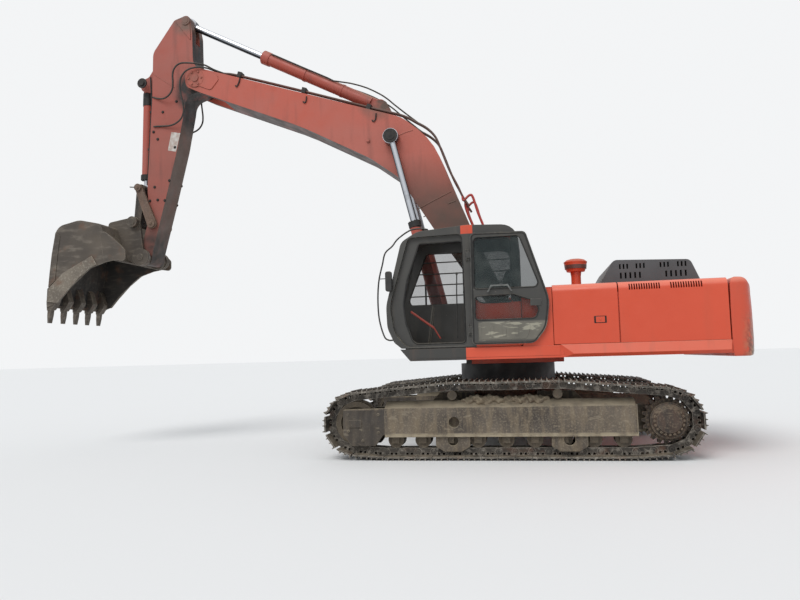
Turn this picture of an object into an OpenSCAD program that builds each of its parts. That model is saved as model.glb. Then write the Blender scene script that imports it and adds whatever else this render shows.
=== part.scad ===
// Crawler excavator of the 35 tonne class, full size, in millimetres.
// X points forward, Y to the driver's left, Z up. The origin is on the slew axis at ground level.
// The working arm stands as parked: boom raised, arm hanging, bucket opened out.

/* [Undercarriage] */
// Distance between the idler's and the sprocket's centres
tumbler_d = 4050; // [3950:10:4150]
// Distance between the middles of the two tracks
gauge = 2590; // [2500:10:2700]
// Width of a track shoe
shoe_w = 600; // [500:10:700]
// Shoes in one track
shoes = 48; // [44:1:50]
// Pitch radius of the chain round sprocket and idler
chain_r = 357; // [340:1:370]
// Height of the sprocket's and the idler's centres
tumbler_z = 480; // [470:1:500]
// Height of a grouser over the shoe plate
grouser_h = 28; // [15:1:40]
// Width of the track frame's beam
beam_w = 400; // [300:10:420]
// Track rollers on each side
rollers = 9; // [6:1:9]

/* [Slew bearing] */
// Radius of the slew bearing's rings
slew_r = 700; // [600:10:720]
// Underside of the revolving frame
deck_z0 = 1305; // [1290:5:1340]

/* [Upper structure] */
// Height of the revolving frame's top
deck_z1 = 1465; // [1440:5:1500]
// Overall width of the upper structure
upper_w = 2990; // [2900:10:3100]
// Radius swept by the rear end
tail_r = 3590; // [3450:10:3700]
// Front face of the counterweight
cw_x = -2820; // [-2900:10:-2760]
// Top of the side covers
cover_z = 2235; // [2150:5:2300]
// Thickness of a sheet-metal cover or door
cover_t = 30; // [20:1:40]
// Top of the engine hood
hood_z = 2655; // [2550:5:2750]

/* [Cab] */
// Width of the cab
cab_w = 1005; // [950:5:1010]
// Thickness of the cab's walls and pillars
cab_wall = 45; // [35:1:60]
// Thickness of the cab door
door_t = 35; // [25:1:36]
// Thickness of a window pane
glass_t = 6; // [4:1:10]

/* [Boom] */
// Width of the boom
boom_w = 600; // [560:5:610]
// Steel plate of boom and arm
plate_t = 20; // [12:1:30]
// Radius of the boom cylinder's barrel
boom_cyl_r = 85; // [70:1:85]
// Radius of the boom cylinder's rod
boom_rod_r = 50; // [40:1:55]

/* [Arm] */
// Width of the arm
arm_w = 400; // [360:5:400]
// Radius of the arm cylinder's barrel
arm_cyl_r = 100; // [85:1:105]
// Radius of the arm cylinder's rod
arm_rod_r = 55; // [40:1:60]
// Radius of the bucket cylinder's barrel
bucket_cyl_r = 82; // [70:1:85]
// Radius of the bucket cylinder's rod
bucket_rod_r = 45; // [35:1:50]

/* [Bucket] */
// Width of the bucket
bucket_w = 1440; // [1100:10:1500]
// Thickness of the bucket's plates
bucket_t = 28; // [16:1:35]
// Teeth on the bucket's lip
teeth = 5; // [3:1:6]

/* [Hidden] */
$fn = 48;

// Pins of the working arm, each as [x, z]
foot_pin = [30, 2030];
boom_cyl_pin = [850, 1485];
boom_eye = [1636, 4777];
arm_cyl_pin = [1868, 5409];
arm_pin = [4965, 6105];
arm_eye = [5185, 7178];
bucket_cyl_pin = [6000, 6165];
rocker_pin = [5796, 3705];
rod_pin = [6040, 4335];
bucket_pin = [5950, 3135];
link_pin = [6109, 3743];

gap = 0.3;      // running gap between pieces that move on each other
side_gap = 5;   // gap at the side of a moving eye or boss

// Colours
c_paint = [0.78, 0.27, 0.17];
c_faded = [0.74, 0.33, 0.26];
c_dark = [0.22, 0.22, 0.21];
c_grey = [0.32, 0.33, 0.34];
c_dusty = [0.42, 0.38, 0.31];
c_track = [0.20, 0.18, 0.16];
c_worn = [0.45, 0.40, 0.35];
c_chrome = [0.80, 0.80, 0.82];

// Outlines: each row of a table is [x, z, corner radius], and outline() rounds the corners with arcs.
function unit(v) = v / norm(v);
function arc_from(m, r, a, turn) =
    let (n = max(1, ceil(abs(turn) / 14)))
    [for (i = [0 : n]) m + r * [cos(a + turn * i / n), sin(a + turn * i / n)]];
function corner(a, b, c, r) =
    let (
        u = unit(a - b),
        v = unit(c - b),
        half = acos(max(-1, min(1, u * v))) / 2)
    (r <= 0 || half > 89.5) ? [b] :
    let (
        m = b + unit(u + v) * r / sin(half),
        p = b + u * r / tan(half) - m,
        q = b + v * r / tan(half) - m,
        a0 = atan2(p[1], p[0]),
        turn = (atan2(q[1], q[0]) - a0 + 540) % 360 - 180)
    arc_from(m, r, a0, turn);
function xz(row) = [row[0], row[1]];
function outline(t) = [for (i = [0 : len(t) - 1])
    each corner(xz(t[(i + len(t) - 1) % len(t)]), xz(t[i]), xz(t[(i + 1) % len(t)]), t[i][2])];

// The outline moved inwards by t: each edge is shifted and neighbours meet again. Points run clockwise.
function edge_normal(a, b) = let (d = unit(b - a)) [d[1], -d[0]];
function inset(p, t) = [for (i = [0 : len(p) - 1])
    let (
        a = p[(i + len(p) - 1) % len(p)],
        c = p[(i + 1) % len(p)],
        n0 = edge_normal(a, p[i]),
        n1 = edge_normal(p[i], c),
        m = n0 + n1)
    p[i] + m * (2 * t / (m * m))];

// A point turned about a centre and points along a line between two pins
function along(a, b, s) = a + unit(b - a) * s;
function aim(a, b) = atan2(b[1] - a[1], b[0] - a[0]);

// A profile in the XZ plane, extruded along Y from y0 to y1
module wall_y(y0, y1) {
    translate([0, y1, 0]) rotate([90, 0, 0]) linear_extrude(y1 - y0) children();
}
// A round bar along Y at [x, z]
module bar_y(p, r, y0, y1) {
    translate([p[0], y1, p[1]]) rotate([90, 0, 0]) cylinder(r = r, h = y1 - y0);
}
// Both sides of the machine
module both() {
    children();
    mirror([0, 1, 0]) children();
}
// A box given by its corners
module box(a, b) {
    translate(a) cube(b - a);
}
// A flat link in the XZ plane: two round ends joined by straight sides, as an outline
function link_outline(a, b, ra, rb) =
    let (
        d = norm(b - a),
        t = aim(a, b),
        s = acos((ra - rb) / d))
    concat(
        arc_from(a, ra, t - s, -(360 - 2 * s)),
        arc_from(b, rb, t + s, -2 * s));

// Track

half_tumbler = tumbler_d / 2;
rail_h = 52;         // from the pin line in to the rail that the rollers touch
plate_h = 64;        // from the pin line out to the shoe plate's outside
grouser_r = plate_h + grouser_h;
ground_x = 1620;     // the chain leaves the ground beyond this distance
carrier_x = [700, -680];
carrier_r = 62;
carrier_z = 835;
link_dip = 5.2;      // a link is straight, so it dips between its pins over a carrier
top_z = carrier_z + carrier_r + rail_h + link_dip;
strand_w = 48;
strand_y = 78;

// The chain's pin line, counter-clockwise in the XZ plane: ground run, idler, top run, sprocket
function half_turn(cx, a) = [for (i = [0 : 45]) [cx, tumbler_z] + chain_r * [cos(a + 4 * i), sin(a + 4 * i)]];
pin_line = concat(
    [[-ground_x, grouser_r], [ground_x, grouser_r]],
    half_turn(half_tumbler, -90),
    [[carrier_x[0], top_z], [0, top_z - 10], [carrier_x[1], top_z]],
    half_turn(-half_tumbler, 90));
line_n = len(pin_line);
function line_step(i) = norm(pin_line[(i + 1) % line_n] - pin_line[i]);
function run_sums(i = 0, s = 0) = i >= line_n ? [s] : concat([s], run_sums(i + 1, s + line_step(i)));
line_s = run_sums();
function line_seg(s, i = 0) = line_s[i + 1] > s || i >= line_n - 1 ? i : line_seg(s, i + 1);
function line_at(s) =
    let (i = line_seg(s))
    pin_line[i] + (pin_line[(i + 1) % line_n] - pin_line[i]) * (s - line_s[i]) / line_step(i);
pins = [for (k = [0 : shoes - 1]) line_at(line_s[line_n] * k / shoes)];

// Radius that the rails leave round the idler
function chord_gap(c, a, b) = abs(cross(b - a, c - a)) / norm(b - a);
rail_r = min([for (k = [0 : shoes - 1])
    let (a = pins[k], b = pins[(k + 1) % shoes])
    if (min(a[0], b[0]) > half_tumbler - 80) chord_gap([half_tumbler, tumbler_z], a, b)]) - rail_h;

// One shoe's outside, from pin to pin: [share of the pitch, height over the pin line]
shoe_table = [
    [0.000, plate_h - 8], [0.020, grouser_r], [0.075, grouser_r], [0.105, plate_h],
    [0.360, plate_h], [0.400, grouser_r], [0.450, plate_h],
    [0.690, plate_h], [0.730, grouser_r], [0.780, plate_h]];
function shoe_points(k) =
    let (
        a = pins[k],
        b = pins[(k + 1) % shoes],
        d = b - a,
        n = edge_normal(a, b))
    [for (row = shoe_table) a + d * row[0] + n * row[1]];
shoe_line = [for (k = [0 : shoes - 1]) each shoe_points(k)];
function rev(p) = [for (i = [len(p) - 1 : -1 : 0]) p[i]];
function ring_path(p, t) = rev(inset(rev(p), t));
shoe_inside = ring_path(pins, -(plate_h - 22));
rail_inside = ring_path(pins, rail_h);

module ring_2d(outside, inside) {
    difference() {
        polygon(outside);
        polygon(inside);
    }
}
module track(side) {
    y = side * gauge / 2;
    color(c_track) {
        wall_y(y - shoe_w / 2, y + shoe_w / 2) ring_2d(shoe_line, shoe_inside);
        for (s = [-1, 1])
            wall_y(y + s * strand_y - strand_w / 2, y + s * strand_y + strand_w / 2)
                ring_2d(ring_path(pins, -(plate_h - 18)), rail_inside);
    }
}
module track_left() { track(1); }
module track_right() { track(-1); }

// Undercarriage

beam_z0 = 325;       // underside of the track frame's beam
beam_z1 = 645;       // where its sloped roof starts
beam_top = 760;
beam_x1 = 1600;      // front end of the beam
beam_x0 = -1560;     // rear end of the beam
beam_in = gauge / 2 - beam_w / 2;
beam_out = gauge / 2 + beam_w / 2;
roller_r = 250 - grouser_r - rail_h - gap;
roller_z = 250;
roller_pitch = 2955 / (rollers - 1);
roller_w = 2 * (strand_y + strand_w / 2) + 10;
roller_top = roller_z + roller_r + 10;
roller_slot = 310;

module track_frame(side) {
    // beam with a roof-shaped top, profile as [y, z]
    roof = [
        [beam_out, beam_z0], [beam_out, beam_z1], [gauge / 2 + 60, beam_top],
        [gauge / 2 - 60, beam_top], [beam_in, beam_z1], [beam_in, beam_z0]];
    yoke = [
        [beam_x1, 195, 0], [2080, 195, 70], [2190, 330, 60], [2190, 600, 60], [2080, 655, 60], [beam_x1, 655, 0]];
    motor = [
        [beam_x0, beam_z0, 0], [-1700, beam_z0 + 20, 0], [-1860, 300, 120], [-2240, 300, 170],
        [-2240, 660, 170], [-1860, 660, 120], [beam_x0, beam_z1, 0]];
    color(c_dusty) mirror([0, side < 0 ? 1 : 0, 0]) {
        translate([beam_x0, 0, 0]) rotate([90, 0, 90]) linear_extrude(beam_x1 - beam_x0)
            difference() {
                polygon(roof);
                // the underside is open over the rollers
                translate([gauge / 2 - roller_slot / 2, beam_z0 - 1]) square([roller_slot, roller_top - beam_z0 + 1]);
            }
        // idler yoke: a plate on each side of the idler
        for (s = [-1, 1])
            wall_y(gauge / 2 + s * 165 - 25, gauge / 2 + s * 165 + 25) polygon(outline(yoke));
        // plate that carries the final drive, on the inside of the sprocket
        wall_y(beam_in, beam_in + 60) polygon(outline(motor));
        // carrier brackets
        for (x = carrier_x)
            box([x - 70, gauge / 2 - 40, beam_top - 1], [x + 70, gauge / 2 + 40, carrier_z - carrier_r - gap]);
        // guards that keep the chain on its rollers
        for (x = [700, -805])
            for (s = [-1, 1])
                wall_y(gauge / 2 + s * 162 - 12, gauge / 2 + s * 162 + 12)
                    polygon(outline([
                        [x - 225, beam_z0 + 1, 0], [x - 225, 255, 0], [x - 150, 150, 40],
                        [x + 150, 150, 40], [x + 225, 255, 0], [x + 225, beam_z0 + 1, 0]]));
    }
}
module track_frame_left() { track_frame(1); }
module track_frame_right() { track_frame(-1); }

module roller_set(side) {
    color(c_dusty) mirror([0, side < 0 ? 1 : 0, 0]) {
        for (i = [0 : rollers - 1]) {
            x = (i - (rollers - 1) / 2) * roller_pitch;
            bar_y([x, roller_z], roller_r, gauge / 2 - roller_w / 2, gauge / 2 + roller_w / 2);
            // end collars hang under the beam
            for (s = [-1, 1])
                box([x - 50, gauge / 2 + s * 130 - 18, roller_z - 40],
                    [x + 50, gauge / 2 + s * 130 + 18, roller_top]);
        }
        for (x = carrier_x) {
            bar_y([x, carrier_z], carrier_r, gauge / 2 - roller_w / 2, gauge / 2 + roller_w / 2);
        }
    }
}
module rollers_left() { roller_set(1); }
module rollers_right() { roller_set(-1); }

module idler(side) {
    y = side * gauge / 2;
    c = [half_tumbler, tumbler_z];
    color(c_dusty) difference() {
        union() {
            bar_y(c, rail_r + 22, y - 46, y + 46);
            bar_y(c, rail_r - gap, y - 105, y + 105);
            bar_y(c, 90, y - 140, y + 140);
        }
        for (s = [-1, 1])
            translate([c[0], y + s * 105, c[1]]) rotate([90, 0, 0]) difference() {
                cylinder(r = rail_r - 70, h = 80, center = true);
                cylinder(r = 110, h = 81, center = true);
            }
    }
}
module idler_left() { idler(1); }
module idler_right() { idler(-1); }

sprocket_teeth = 21;
module sprocket(side) {
    c = [-half_tumbler, tumbler_z];
    color(c_dusty) mirror([0, side < 0 ? 1 : 0, 0]) {
        // toothed rim between the two link strands
        wall_y(gauge / 2 - 38, gauge / 2 + 38)
            polygon([for (i = [0 : sprocket_teeth - 1]) let (a = 360 * i / sprocket_teeth)
                each [for (q = [[-6, 268], [-3, 312], [3, 312], [6, 268]])
                    c + q[1] * [cos(a + q[0]), sin(a + q[0])]]]);
        // final drive: flange, drum and domed cover outside, drum to the carrier plate inside
        bar_y(c, 262, gauge / 2 + 38, gauge / 2 + 62);
        bar_y(c, 225, gauge / 2 + 62, gauge / 2 + 150);
        translate([c[0], gauge / 2 + 150, c[1]]) rotate([-90, 0, 0]) cylinder(r1 = 205, r2 = 150, h = 45);
        bar_y(c, 210, beam_in + 60, gauge / 2 - 38);
    }
}
module sprocket_left() { sprocket(1); }
module sprocket_right() { sprocket(-1); }

car_top = 985;
tow_x = 900;            // upright bore for a tow shackle's pin, front and rear
tow_r = 30;
centre_z0 = 500;        // the plate under the middle
centre_z1 = 560;
module carbody() {
    color(c_dusty) difference() {
        union() {
            // tapered round tower under the slew bearing
            translate([0, 0, centre_z1]) cylinder(r1 = 820, r2 = slew_r + 20, h = car_top - centre_z1);
            box([-820, -beam_in, centre_z0], [820, beam_in, centre_z1]);
            // tongues for a tow shackle, front and rear
            translate([0, 0, centre_z0]) linear_extrude(centre_z1 - centre_z0)
                for (s = [-1, 1])
                    polygon(outline([
                        [s * 800, -150, 0], [s * 800, 150, 0], [s * 980, 90, 60], [s * 980, -90, 60]]));
            // four legs of box section that run out to the track frames
            both() for (s = [-1, 1])
                wall_y(300, beam_in) polygon(outline([
                    [s * 420, 560, 0], [s * 420, 860, 0], [s * 900, 860, 0], [s * 1060, 700, 0], [s * 1060, 500, 0],
                    [s * 420, 500, 0]]));
        }
        translate([0, 0, 400]) cylinder(r = 260, h = 700);
        for (s = [-1, 1]) translate([s * tow_x, 0, centre_z0 - 50]) cylinder(r = tow_r, h = 200);
    }
}
module slew_bearing() {
    color(c_dark) difference() {
        translate([0, 0, car_top]) cylinder(r = slew_r, h = 250);
        translate([0, 0, car_top - 1]) cylinder(r = slew_r - 110, h = 252);
    }
}

// Upper structure

half_w = upper_w / 2;
bearing_top = car_top + 250;
girder_in = boom_w / 2 + 20;
girder_t = 40;
girder_top = 1600;
cyl_y = 400;            // middle of a boom cylinder
cab_in = half_w - cab_w;
eye_w = 35;             // half width of a boom cylinder's foot eye
boss_r = 170;
foot_pin_r = 60;

module revolving_frame() {
    color(c_grey) {
        difference() {
            union() {
                // floor: closed at the rear, a left and a right arm at the front
                box([cw_x, -half_w, deck_z0], [560, half_w, deck_z0 + 30]);
                both() box([559, cab_in, deck_z0], [1235, half_w, deck_z0 + 30]);
                both() box([-820, 340, bearing_top + gap], [559, 560, deck_z0 + 1]);
                box([-700, -slew_r + 20, bearing_top + gap], [560, slew_r - 20, deck_z0 + 1]);
                // edge members with a slanted ledge, profile as [y, z]
                both() translate([cw_x, 0, 0]) rotate([90, 0, 90]) linear_extrude(1235 - cw_x)
                    polygon([
                        [half_w - 180, deck_z0], [half_w - 12, deck_z0], [half_w, deck_z0 + 35],
                        [half_w, deck_z1], [half_w - 180, deck_z1]]);
                both() wall_y(cab_in, half_w) polygon([
                    [1150, deck_z0], [1235, deck_z0], [1370, deck_z1], [1150, deck_z1]]);
                both() box([560, cab_in, deck_z0], [1200, cab_in + 60, deck_z1]);
                // cross members
                for (x = [-2500, -1500])
                    box([x, -half_w + 100, deck_z0 + 29], [x + 60, half_w - 100, deck_z1]);
                // girders: low at the rear, up to the boom's foot pin, down to the cylinder's foot
                both() wall_y(girder_in, girder_in + girder_t) polygon(outline([
                    [cw_x, deck_z0, 0], [cw_x, girder_top, 0], [-1200, girder_top, 300],
                    [foot_pin[0] - 190, foot_pin[1] + 40, 150], [foot_pin[0] + 40, foot_pin[1] + 190, 150],
                    [foot_pin[0] + 260, foot_pin[1] + 20, 160], [700, 1560, 60],
                    [boom_cyl_pin[0] + 70, boom_cyl_pin[1] + 90, 80], [boom_cyl_pin[0] + 100, 1420, 60],
                    [880, deck_z0, 60]]));
                // outer lugs of the boom cylinder's feet
                both() wall_y(cyl_y + eye_w + side_gap, cab_in - side_gap) polygon(outline([
                    [560, deck_z0, 0], [560, deck_z1 - 10, 0], [720, boom_cyl_pin[1] + 90, 60],
                    [boom_cyl_pin[0] + 90, boom_cyl_pin[1] + 90, 80], [boom_cyl_pin[0] + 90, 1380, 60],
                    [860, deck_z0, 60]]));
            }
            both() bar_y(foot_pin, foot_pin_r, 200, half_w);
        }
        // foot pin of the boom and pins of the cylinders' feet
        both() bar_y(foot_pin, foot_pin_r, boom_w / 2 - 140, girder_in + girder_t + 20);
        both() bar_y(boom_cyl_pin, 45 - gap, girder_in + girder_t, cyl_y + eye_w + side_gap);
    }
}

// Cab

cab_side = [
    [-262, deck_z1, 0], [-262, 3070, 230], [367, 3125, 0], [1165, 3092, 110], [1440, 2600, 900],
    [1585, 2100, 600], [1560, 1600, 170], [1330, deck_z1, 0]];
cab_out = outline(cab_side);
// The door's outline when it is shut, and its hinge line
hinge_x = 430;
hinge_y = half_w + 15;
door_pocket = door_t + 5;
knuckle_r = 14;
hinge_z = [1700, 2700];
lug_z = 40 + gap + 16;
door_shut = [
    [488, 1515, 60], [488, 2958, 60], [1225, 2955, 60], [1475, 2150, 900], [1440, 1800, 200], [1290, 1540, 120]];
door_hole = [
    [560, 1585, 50], [560, 2890, 60], [1175, 2888, 60], [1390, 2150, 700], [1350, 1830, 150], [1230, 1610, 90]];
win_upper = [[590, 2180, 60], [590, 2860, 70], [1150, 2850, 70], [1345, 2180, 60]];
win_lower = [[590, 1990, 60], [590, 2110, 50], [1335, 2110, 50], [1350, 1990, 60]];
rear_side_win = [[-190, 2300, 60], [-190, 2850, 120], [370, 2880, 60], [370, 2300, 60]];
right_win = [[-120, 2060, 60], [-120, 2850, 120], [1160, 2880, 60], [1400, 2200, 200], [1380, 2060, 60]];

module cab_shell() {
    // lugs that carry the door's hinges
    color(c_grey) for (z = hinge_z, s = [-1, 1]) {
        translate([hinge_x, hinge_y, z + s * lug_z - 16]) cylinder(r = knuckle_r, h = 32);
        box([hinge_x - 40, half_w - 1, z + s * lug_z - 16], [hinge_x, hinge_y, z + s * lug_z + 16]);
    }
    color(c_grey) difference() {
        wall_y(cab_in, half_w) polygon(cab_out);
        wall_y(cab_in + cab_wall, half_w - door_pocket - cab_wall) polygon(inset(cab_out, cab_wall));
        // pocket for the door and the way in
        wall_y(half_w - door_pocket, half_w + 1) polygon(inset(outline(door_shut), -8));
        wall_y(half_w - 2 * cab_wall - door_pocket, half_w) polygon(outline(door_hole));
        // side windows
        wall_y(half_w - 2 * cab_wall - door_pocket, half_w + 1) polygon(outline(rear_side_win));
        wall_y(cab_in - 1, cab_in + 2 * cab_wall) polygon(outline(right_win));
        // windscreen, lower front pane, rear window and roof window
        box([1180, cab_in + 70, 2080], [1700, half_w - 110, 3020]);
        box([1440, cab_in + 70, 1660], [1700, half_w - 110, 2030]);
        box([-300, cab_in + 90, 2150], [-200, half_w - 130, 2880]);
        box([300, cab_in + 150, 3000], [900, half_w - 190, 3200]);
    }
}
module cab_glass() {
    color([0.55, 0.65, 0.68, 0.35]) {
        wall_y(half_w - door_pocket - 30, half_w - door_pocket - 30 + glass_t) polygon(outline(rear_side_win));
        wall_y(cab_in + 15, cab_in + 15 + glass_t) polygon(outline(right_win));
        intersection() {
            wall_y(cab_in + 70, half_w - 110) difference() {
                polygon(inset(cab_out, 12));
                polygon(inset(cab_out, 12 + glass_t));
            }
            union() {
                box([1180, cab_in + 70, 2080], [1700, half_w - 110, 3020]);
                box([1440, cab_in + 70, 1660], [1700, half_w - 110, 2030]);
                box([-300, cab_in + 90, 2150], [-200, half_w - 130, 2880]);
                box([300, cab_in + 150, 3000], [900, half_w - 190, 3200]);
            }
        }
    }
}
module cab_door() {
    // swung right round and folded back along the side covers
    color(c_grey) translate([2 * hinge_x, 2 * hinge_y, 0]) rotate([0, 0, 180]) {
        difference() {
            wall_y(half_w - door_t, half_w) polygon(outline(door_shut));
            wall_y(half_w - door_t - 1, half_w + 1) polygon(outline(win_upper));
            wall_y(half_w - door_t - 1, half_w + 1) polygon(outline(win_lower));
        }
        // hinge leaves and knuckles
        for (z = hinge_z) {
            box([hinge_x, half_w + 4, z - 40], [540, half_w + 12, z + 40]);
            box([500, half_w - 1, z - 40], [540, half_w + 5, z + 40]);
            translate([hinge_x, hinge_y, z - 40]) cylinder(r = knuckle_r, h = 80);
        }
    }
}
module cab_door_glass() {
    color([0.55, 0.65, 0.68, 0.35]) translate([2 * hinge_x, 2 * hinge_y, 0]) rotate([0, 0, 180]) {
        wall_y(half_w - 20, half_w - 20 + glass_t) polygon(outline(win_upper));
        wall_y(half_w - 20, half_w - 20 + glass_t) polygon(outline(win_lower));
    }
}
floor_z = deck_z1 + cab_wall;
cab_mid = (cab_in + half_w) / 2 - 10;
module seat() {
    color(c_dark) {
        box([20, cab_mid - 180, floor_z], [420, cab_mid + 180, floor_z + 290]);
        wall_y(cab_mid - 255, cab_mid + 255) polygon(outline([
            [-20, 1770, 40], [-10, 1900, 60], [480, 1925, 60], [500, 1790, 60]]));
        wall_y(cab_mid - 235, cab_mid + 235) polygon(outline([
            [-20, 1880, 30], [-170, 2480, 60], [-60, 2540, 60], [110, 1900, 30]]));
    }
}
module consoles() {
    color(c_dark) {
        for (s = [-1, 1]) {
            wall_y(cab_mid + s * 330 - 60, cab_mid + s * 330 + 60) polygon(outline([
                [0, floor_z, 0], [-60, 2050, 60], [520, 2090, 80], [470, 1930, 60], [300, floor_z, 0]]));
            translate([450, cab_mid + s * 330, 2040]) rotate([0, 8, 0]) cylinder(r = 18, h = 190);
            translate([476, cab_mid + s * 330, 2220]) sphere(r = 38);
        }
        // travel pedals and levers
        for (s = [-1, 1]) {
            box([980, cab_mid + s * 90 - 45, floor_z], [1120, cab_mid + s * 90 + 45, floor_z + 40]);
            translate([1040, cab_mid + s * 90, floor_z + 39]) rotate([0, -8, 0]) cylinder(r = 11, h = 520);
        }
    }
}

// Covers, doors and tanks

seam_front = -660;
seam_mid = -1490;
seam_gap = 14;          // gap between neighbouring doors
round_r = 110;
door_z0 = deck_z1 + 8;
lid_y = half_w - round_r - 5;     // the side doors reach in to here over the top edge

// Side cover section as [y, z]: upright with a rounded top edge
function cover_outer(t) = concat(
    [[half_w - t, door_z0]],
    [for (a = [0 : 15 : 90]) [half_w - round_r + (round_r - t) * cos(a), cover_z - round_r + (round_r - t) * sin(a)]],
    [[lid_y, cover_z - t]]);
module side_cover(x0, x1) {
    translate([x0, 0, 0]) rotate([90, 0, 90]) linear_extrude(x1 - x0)
        polygon(concat(cover_outer(0), rev(cover_outer(cover_t))));
}
module left_front_door() {
    color(c_paint) side_cover(seam_mid + seam_gap / 2, seam_front - seam_gap / 2);
}
module left_rear_door() {
    color(c_paint) difference() {
        side_cover(cw_x + 26, seam_mid - seam_gap / 2);
        // air slots in two groups along the top edge
        for (g = [-1, 1])
            for (i = [0 : 12])
                box([-2160 + g * 200 + (i - 6) * 26 - 6, lid_y + 12, cover_z - 90],
                    [-2160 + g * 200 + (i - 6) * 26 + 6, half_w - 40, cover_z + 5]);
    }
}
module right_rear_door() {
    color(c_paint) mirror([0, 1, 0]) side_cover(cw_x + 26, seam_mid - seam_gap / 2);
}
// Fixed part of a side: posts beside the doors and the deck between doors and hood
module housing_left() {
    color(c_paint) {
        box([cw_x + 30, 1000, cover_z - cover_t], [cab_x, lid_y - 8, cover_z]);
        box([seam_front, 1000, deck_z1], [cab_x, half_w - 2, cover_z - cover_t]);
        // deck plate behind the boom's foot
        box([seam_mid + 8, -540, cover_z - cover_t], [cab_x, 1001, cover_z]);
        for (x = [cw_x + 30, seam_mid - 30])
            box([x, 1300, deck_z1], [x + 60, half_w - cover_t - gap, cover_z - round_r]);
        box([cw_x + 30, 1000, deck_z1], [cab_x, 1030, cover_z - cover_t]);
    }
}
cab_x = -270;
module housing_right() {
    color(c_paint) mirror([0, 1, 0]) {
        box([cw_x + 30, 1000, cover_z - cover_t], [seam_mid, lid_y - 8, cover_z]);
        for (x = [cw_x + 30, seam_mid - 30])
            box([x, 1300, deck_z1], [x + 60, half_w - cover_t - gap, cover_z - round_r]);
        box([cw_x + 30, 1000, deck_z1], [seam_mid, 1030, cover_z - cover_t]);
        // hydraulic tank, fuel tank and tool box with a step on its front
        for (t = [[seam_mid + 8, -620, cover_z], [-612, 330, cover_z], [338, 1235, 2020]])
            difference() {
                wall_y(540, half_w) polygon(outline([
                    [t[0], deck_z1, 0], [t[0], t[2], 60], [t[1], t[2], 60], [t[1], deck_z1, 0]]));
                box([t[0] + 40, 580, deck_z1 + 40], [t[1] - 40, half_w - 40, t[2] - 40]);
            }
        box([1235, 640, 1680], [1400, half_w - 120, 1720]);
        box([-260, 760, cover_z - 1], [-40, 980, cover_z + 45]);
    }
}
cw_top = 2257;
lift_r = 24;            // hole for a lifting eye bolt
lift_depth = 120;
module counterweight() {
    plan = [
        [cw_x, -half_w, 0], [cw_x, half_w, 0], [-3060, half_w, 260], [-3330, 1180, 300], [-tail_r, 560, 500],
        [-tail_r, -560, 500], [-3330, -1180, 300], [-3060, -half_w, 260]];
    color(c_paint) difference() {
        intersection() {
            translate([0, 0, 1264]) linear_extrude(cw_top - 1264) polygon(outline(plan));
            wall_y(-half_w, half_w) polygon(outline([
                [-tail_r, 1310, 80], [-tail_r, 2120, 60], [-tail_r + 90, cw_top, 90], [cw_x, cw_top, 0],
                [cw_x, 1264, 0],
                [-tail_r + 60, 1264, 40]]));
        }
        // holes for lifting bolts
        both() translate([-3140, 700, cw_top - lift_depth]) cylinder(r = lift_r, h = 2 * lift_depth);
    }
}
module engine() {
    color(c_grey) {
        box([-2550, -600, girder_top], [-1650, 450, 2300]);
        // coolers on the left behind the door
        box([-2600, 560, deck_z1], [-1600, 760, 2180]);
    }
}
hood_y = 985;
hood_z0 = cover_z + gap;
module hood() {
    front = [
        [cw_x + 20, hood_z0, 0], [-2690, hood_z - 20, 90], [-1560, hood_z - 10, 110], [-1290, hood_z0, 0]];
    inner = inset(outline(front), cover_t);
    color(c_dark) difference() {
        union() {
            wall_y(-hood_y + 60, hood_y - 60) polygon(outline(front));
        }
        difference() {
            wall_y(-hood_y + 60 + cover_t, hood_y - 60 - cover_t) polygon(inner);
            box([cw_x, -hood_y, cover_z], [-1200, hood_y, hood_z0 + cover_t]);
        }
        box([cw_x + 70, -hood_y + 60 + cover_t, cover_z], [-1360, hood_y - 60 - cover_t, hood_z0 + cover_t + 1]);
        // slots in the side, four groups above and one row below
        both() for (g = [0 : 3]) for (i = [0 : 3])
            box([-2480 + g * 250 + i * 45, hood_y - 200, 2470], [-2480 + g * 250 + i * 45 + 20, hood_y, 2570]);
    }
}
module precleaner() {
    p = [-1000, 560];
    color(c_paint) translate([p[0], p[1], 0]) {
        translate([0, 0, cover_z + gap]) cylinder(r = 90, h = 300);
        translate([0, 0, 2530]) cylinder(r1 = 120, r2 = 165, h = 50);
        translate([0, 0, 2580]) cylinder(r = 165, h = 110);
        translate([0, 0, 2690]) cylinder(r1 = 165, r2 = 120, h = 40);
    }
}
module handrails() {
    color(c_dark) {
        // step rail on the right front, and the mirror on its post
        translate([1340, -1380, 1720]) cylinder(r = 16, h = 900);
        translate([1340, -760, 1720]) cylinder(r = 16, h = 900);
        box([1324, -1396, 2600], [1356, -744, 2632]);
        box([1310, -1480, 2400], [1335, -1396, 2640]);
    }
}

// Boom

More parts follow.
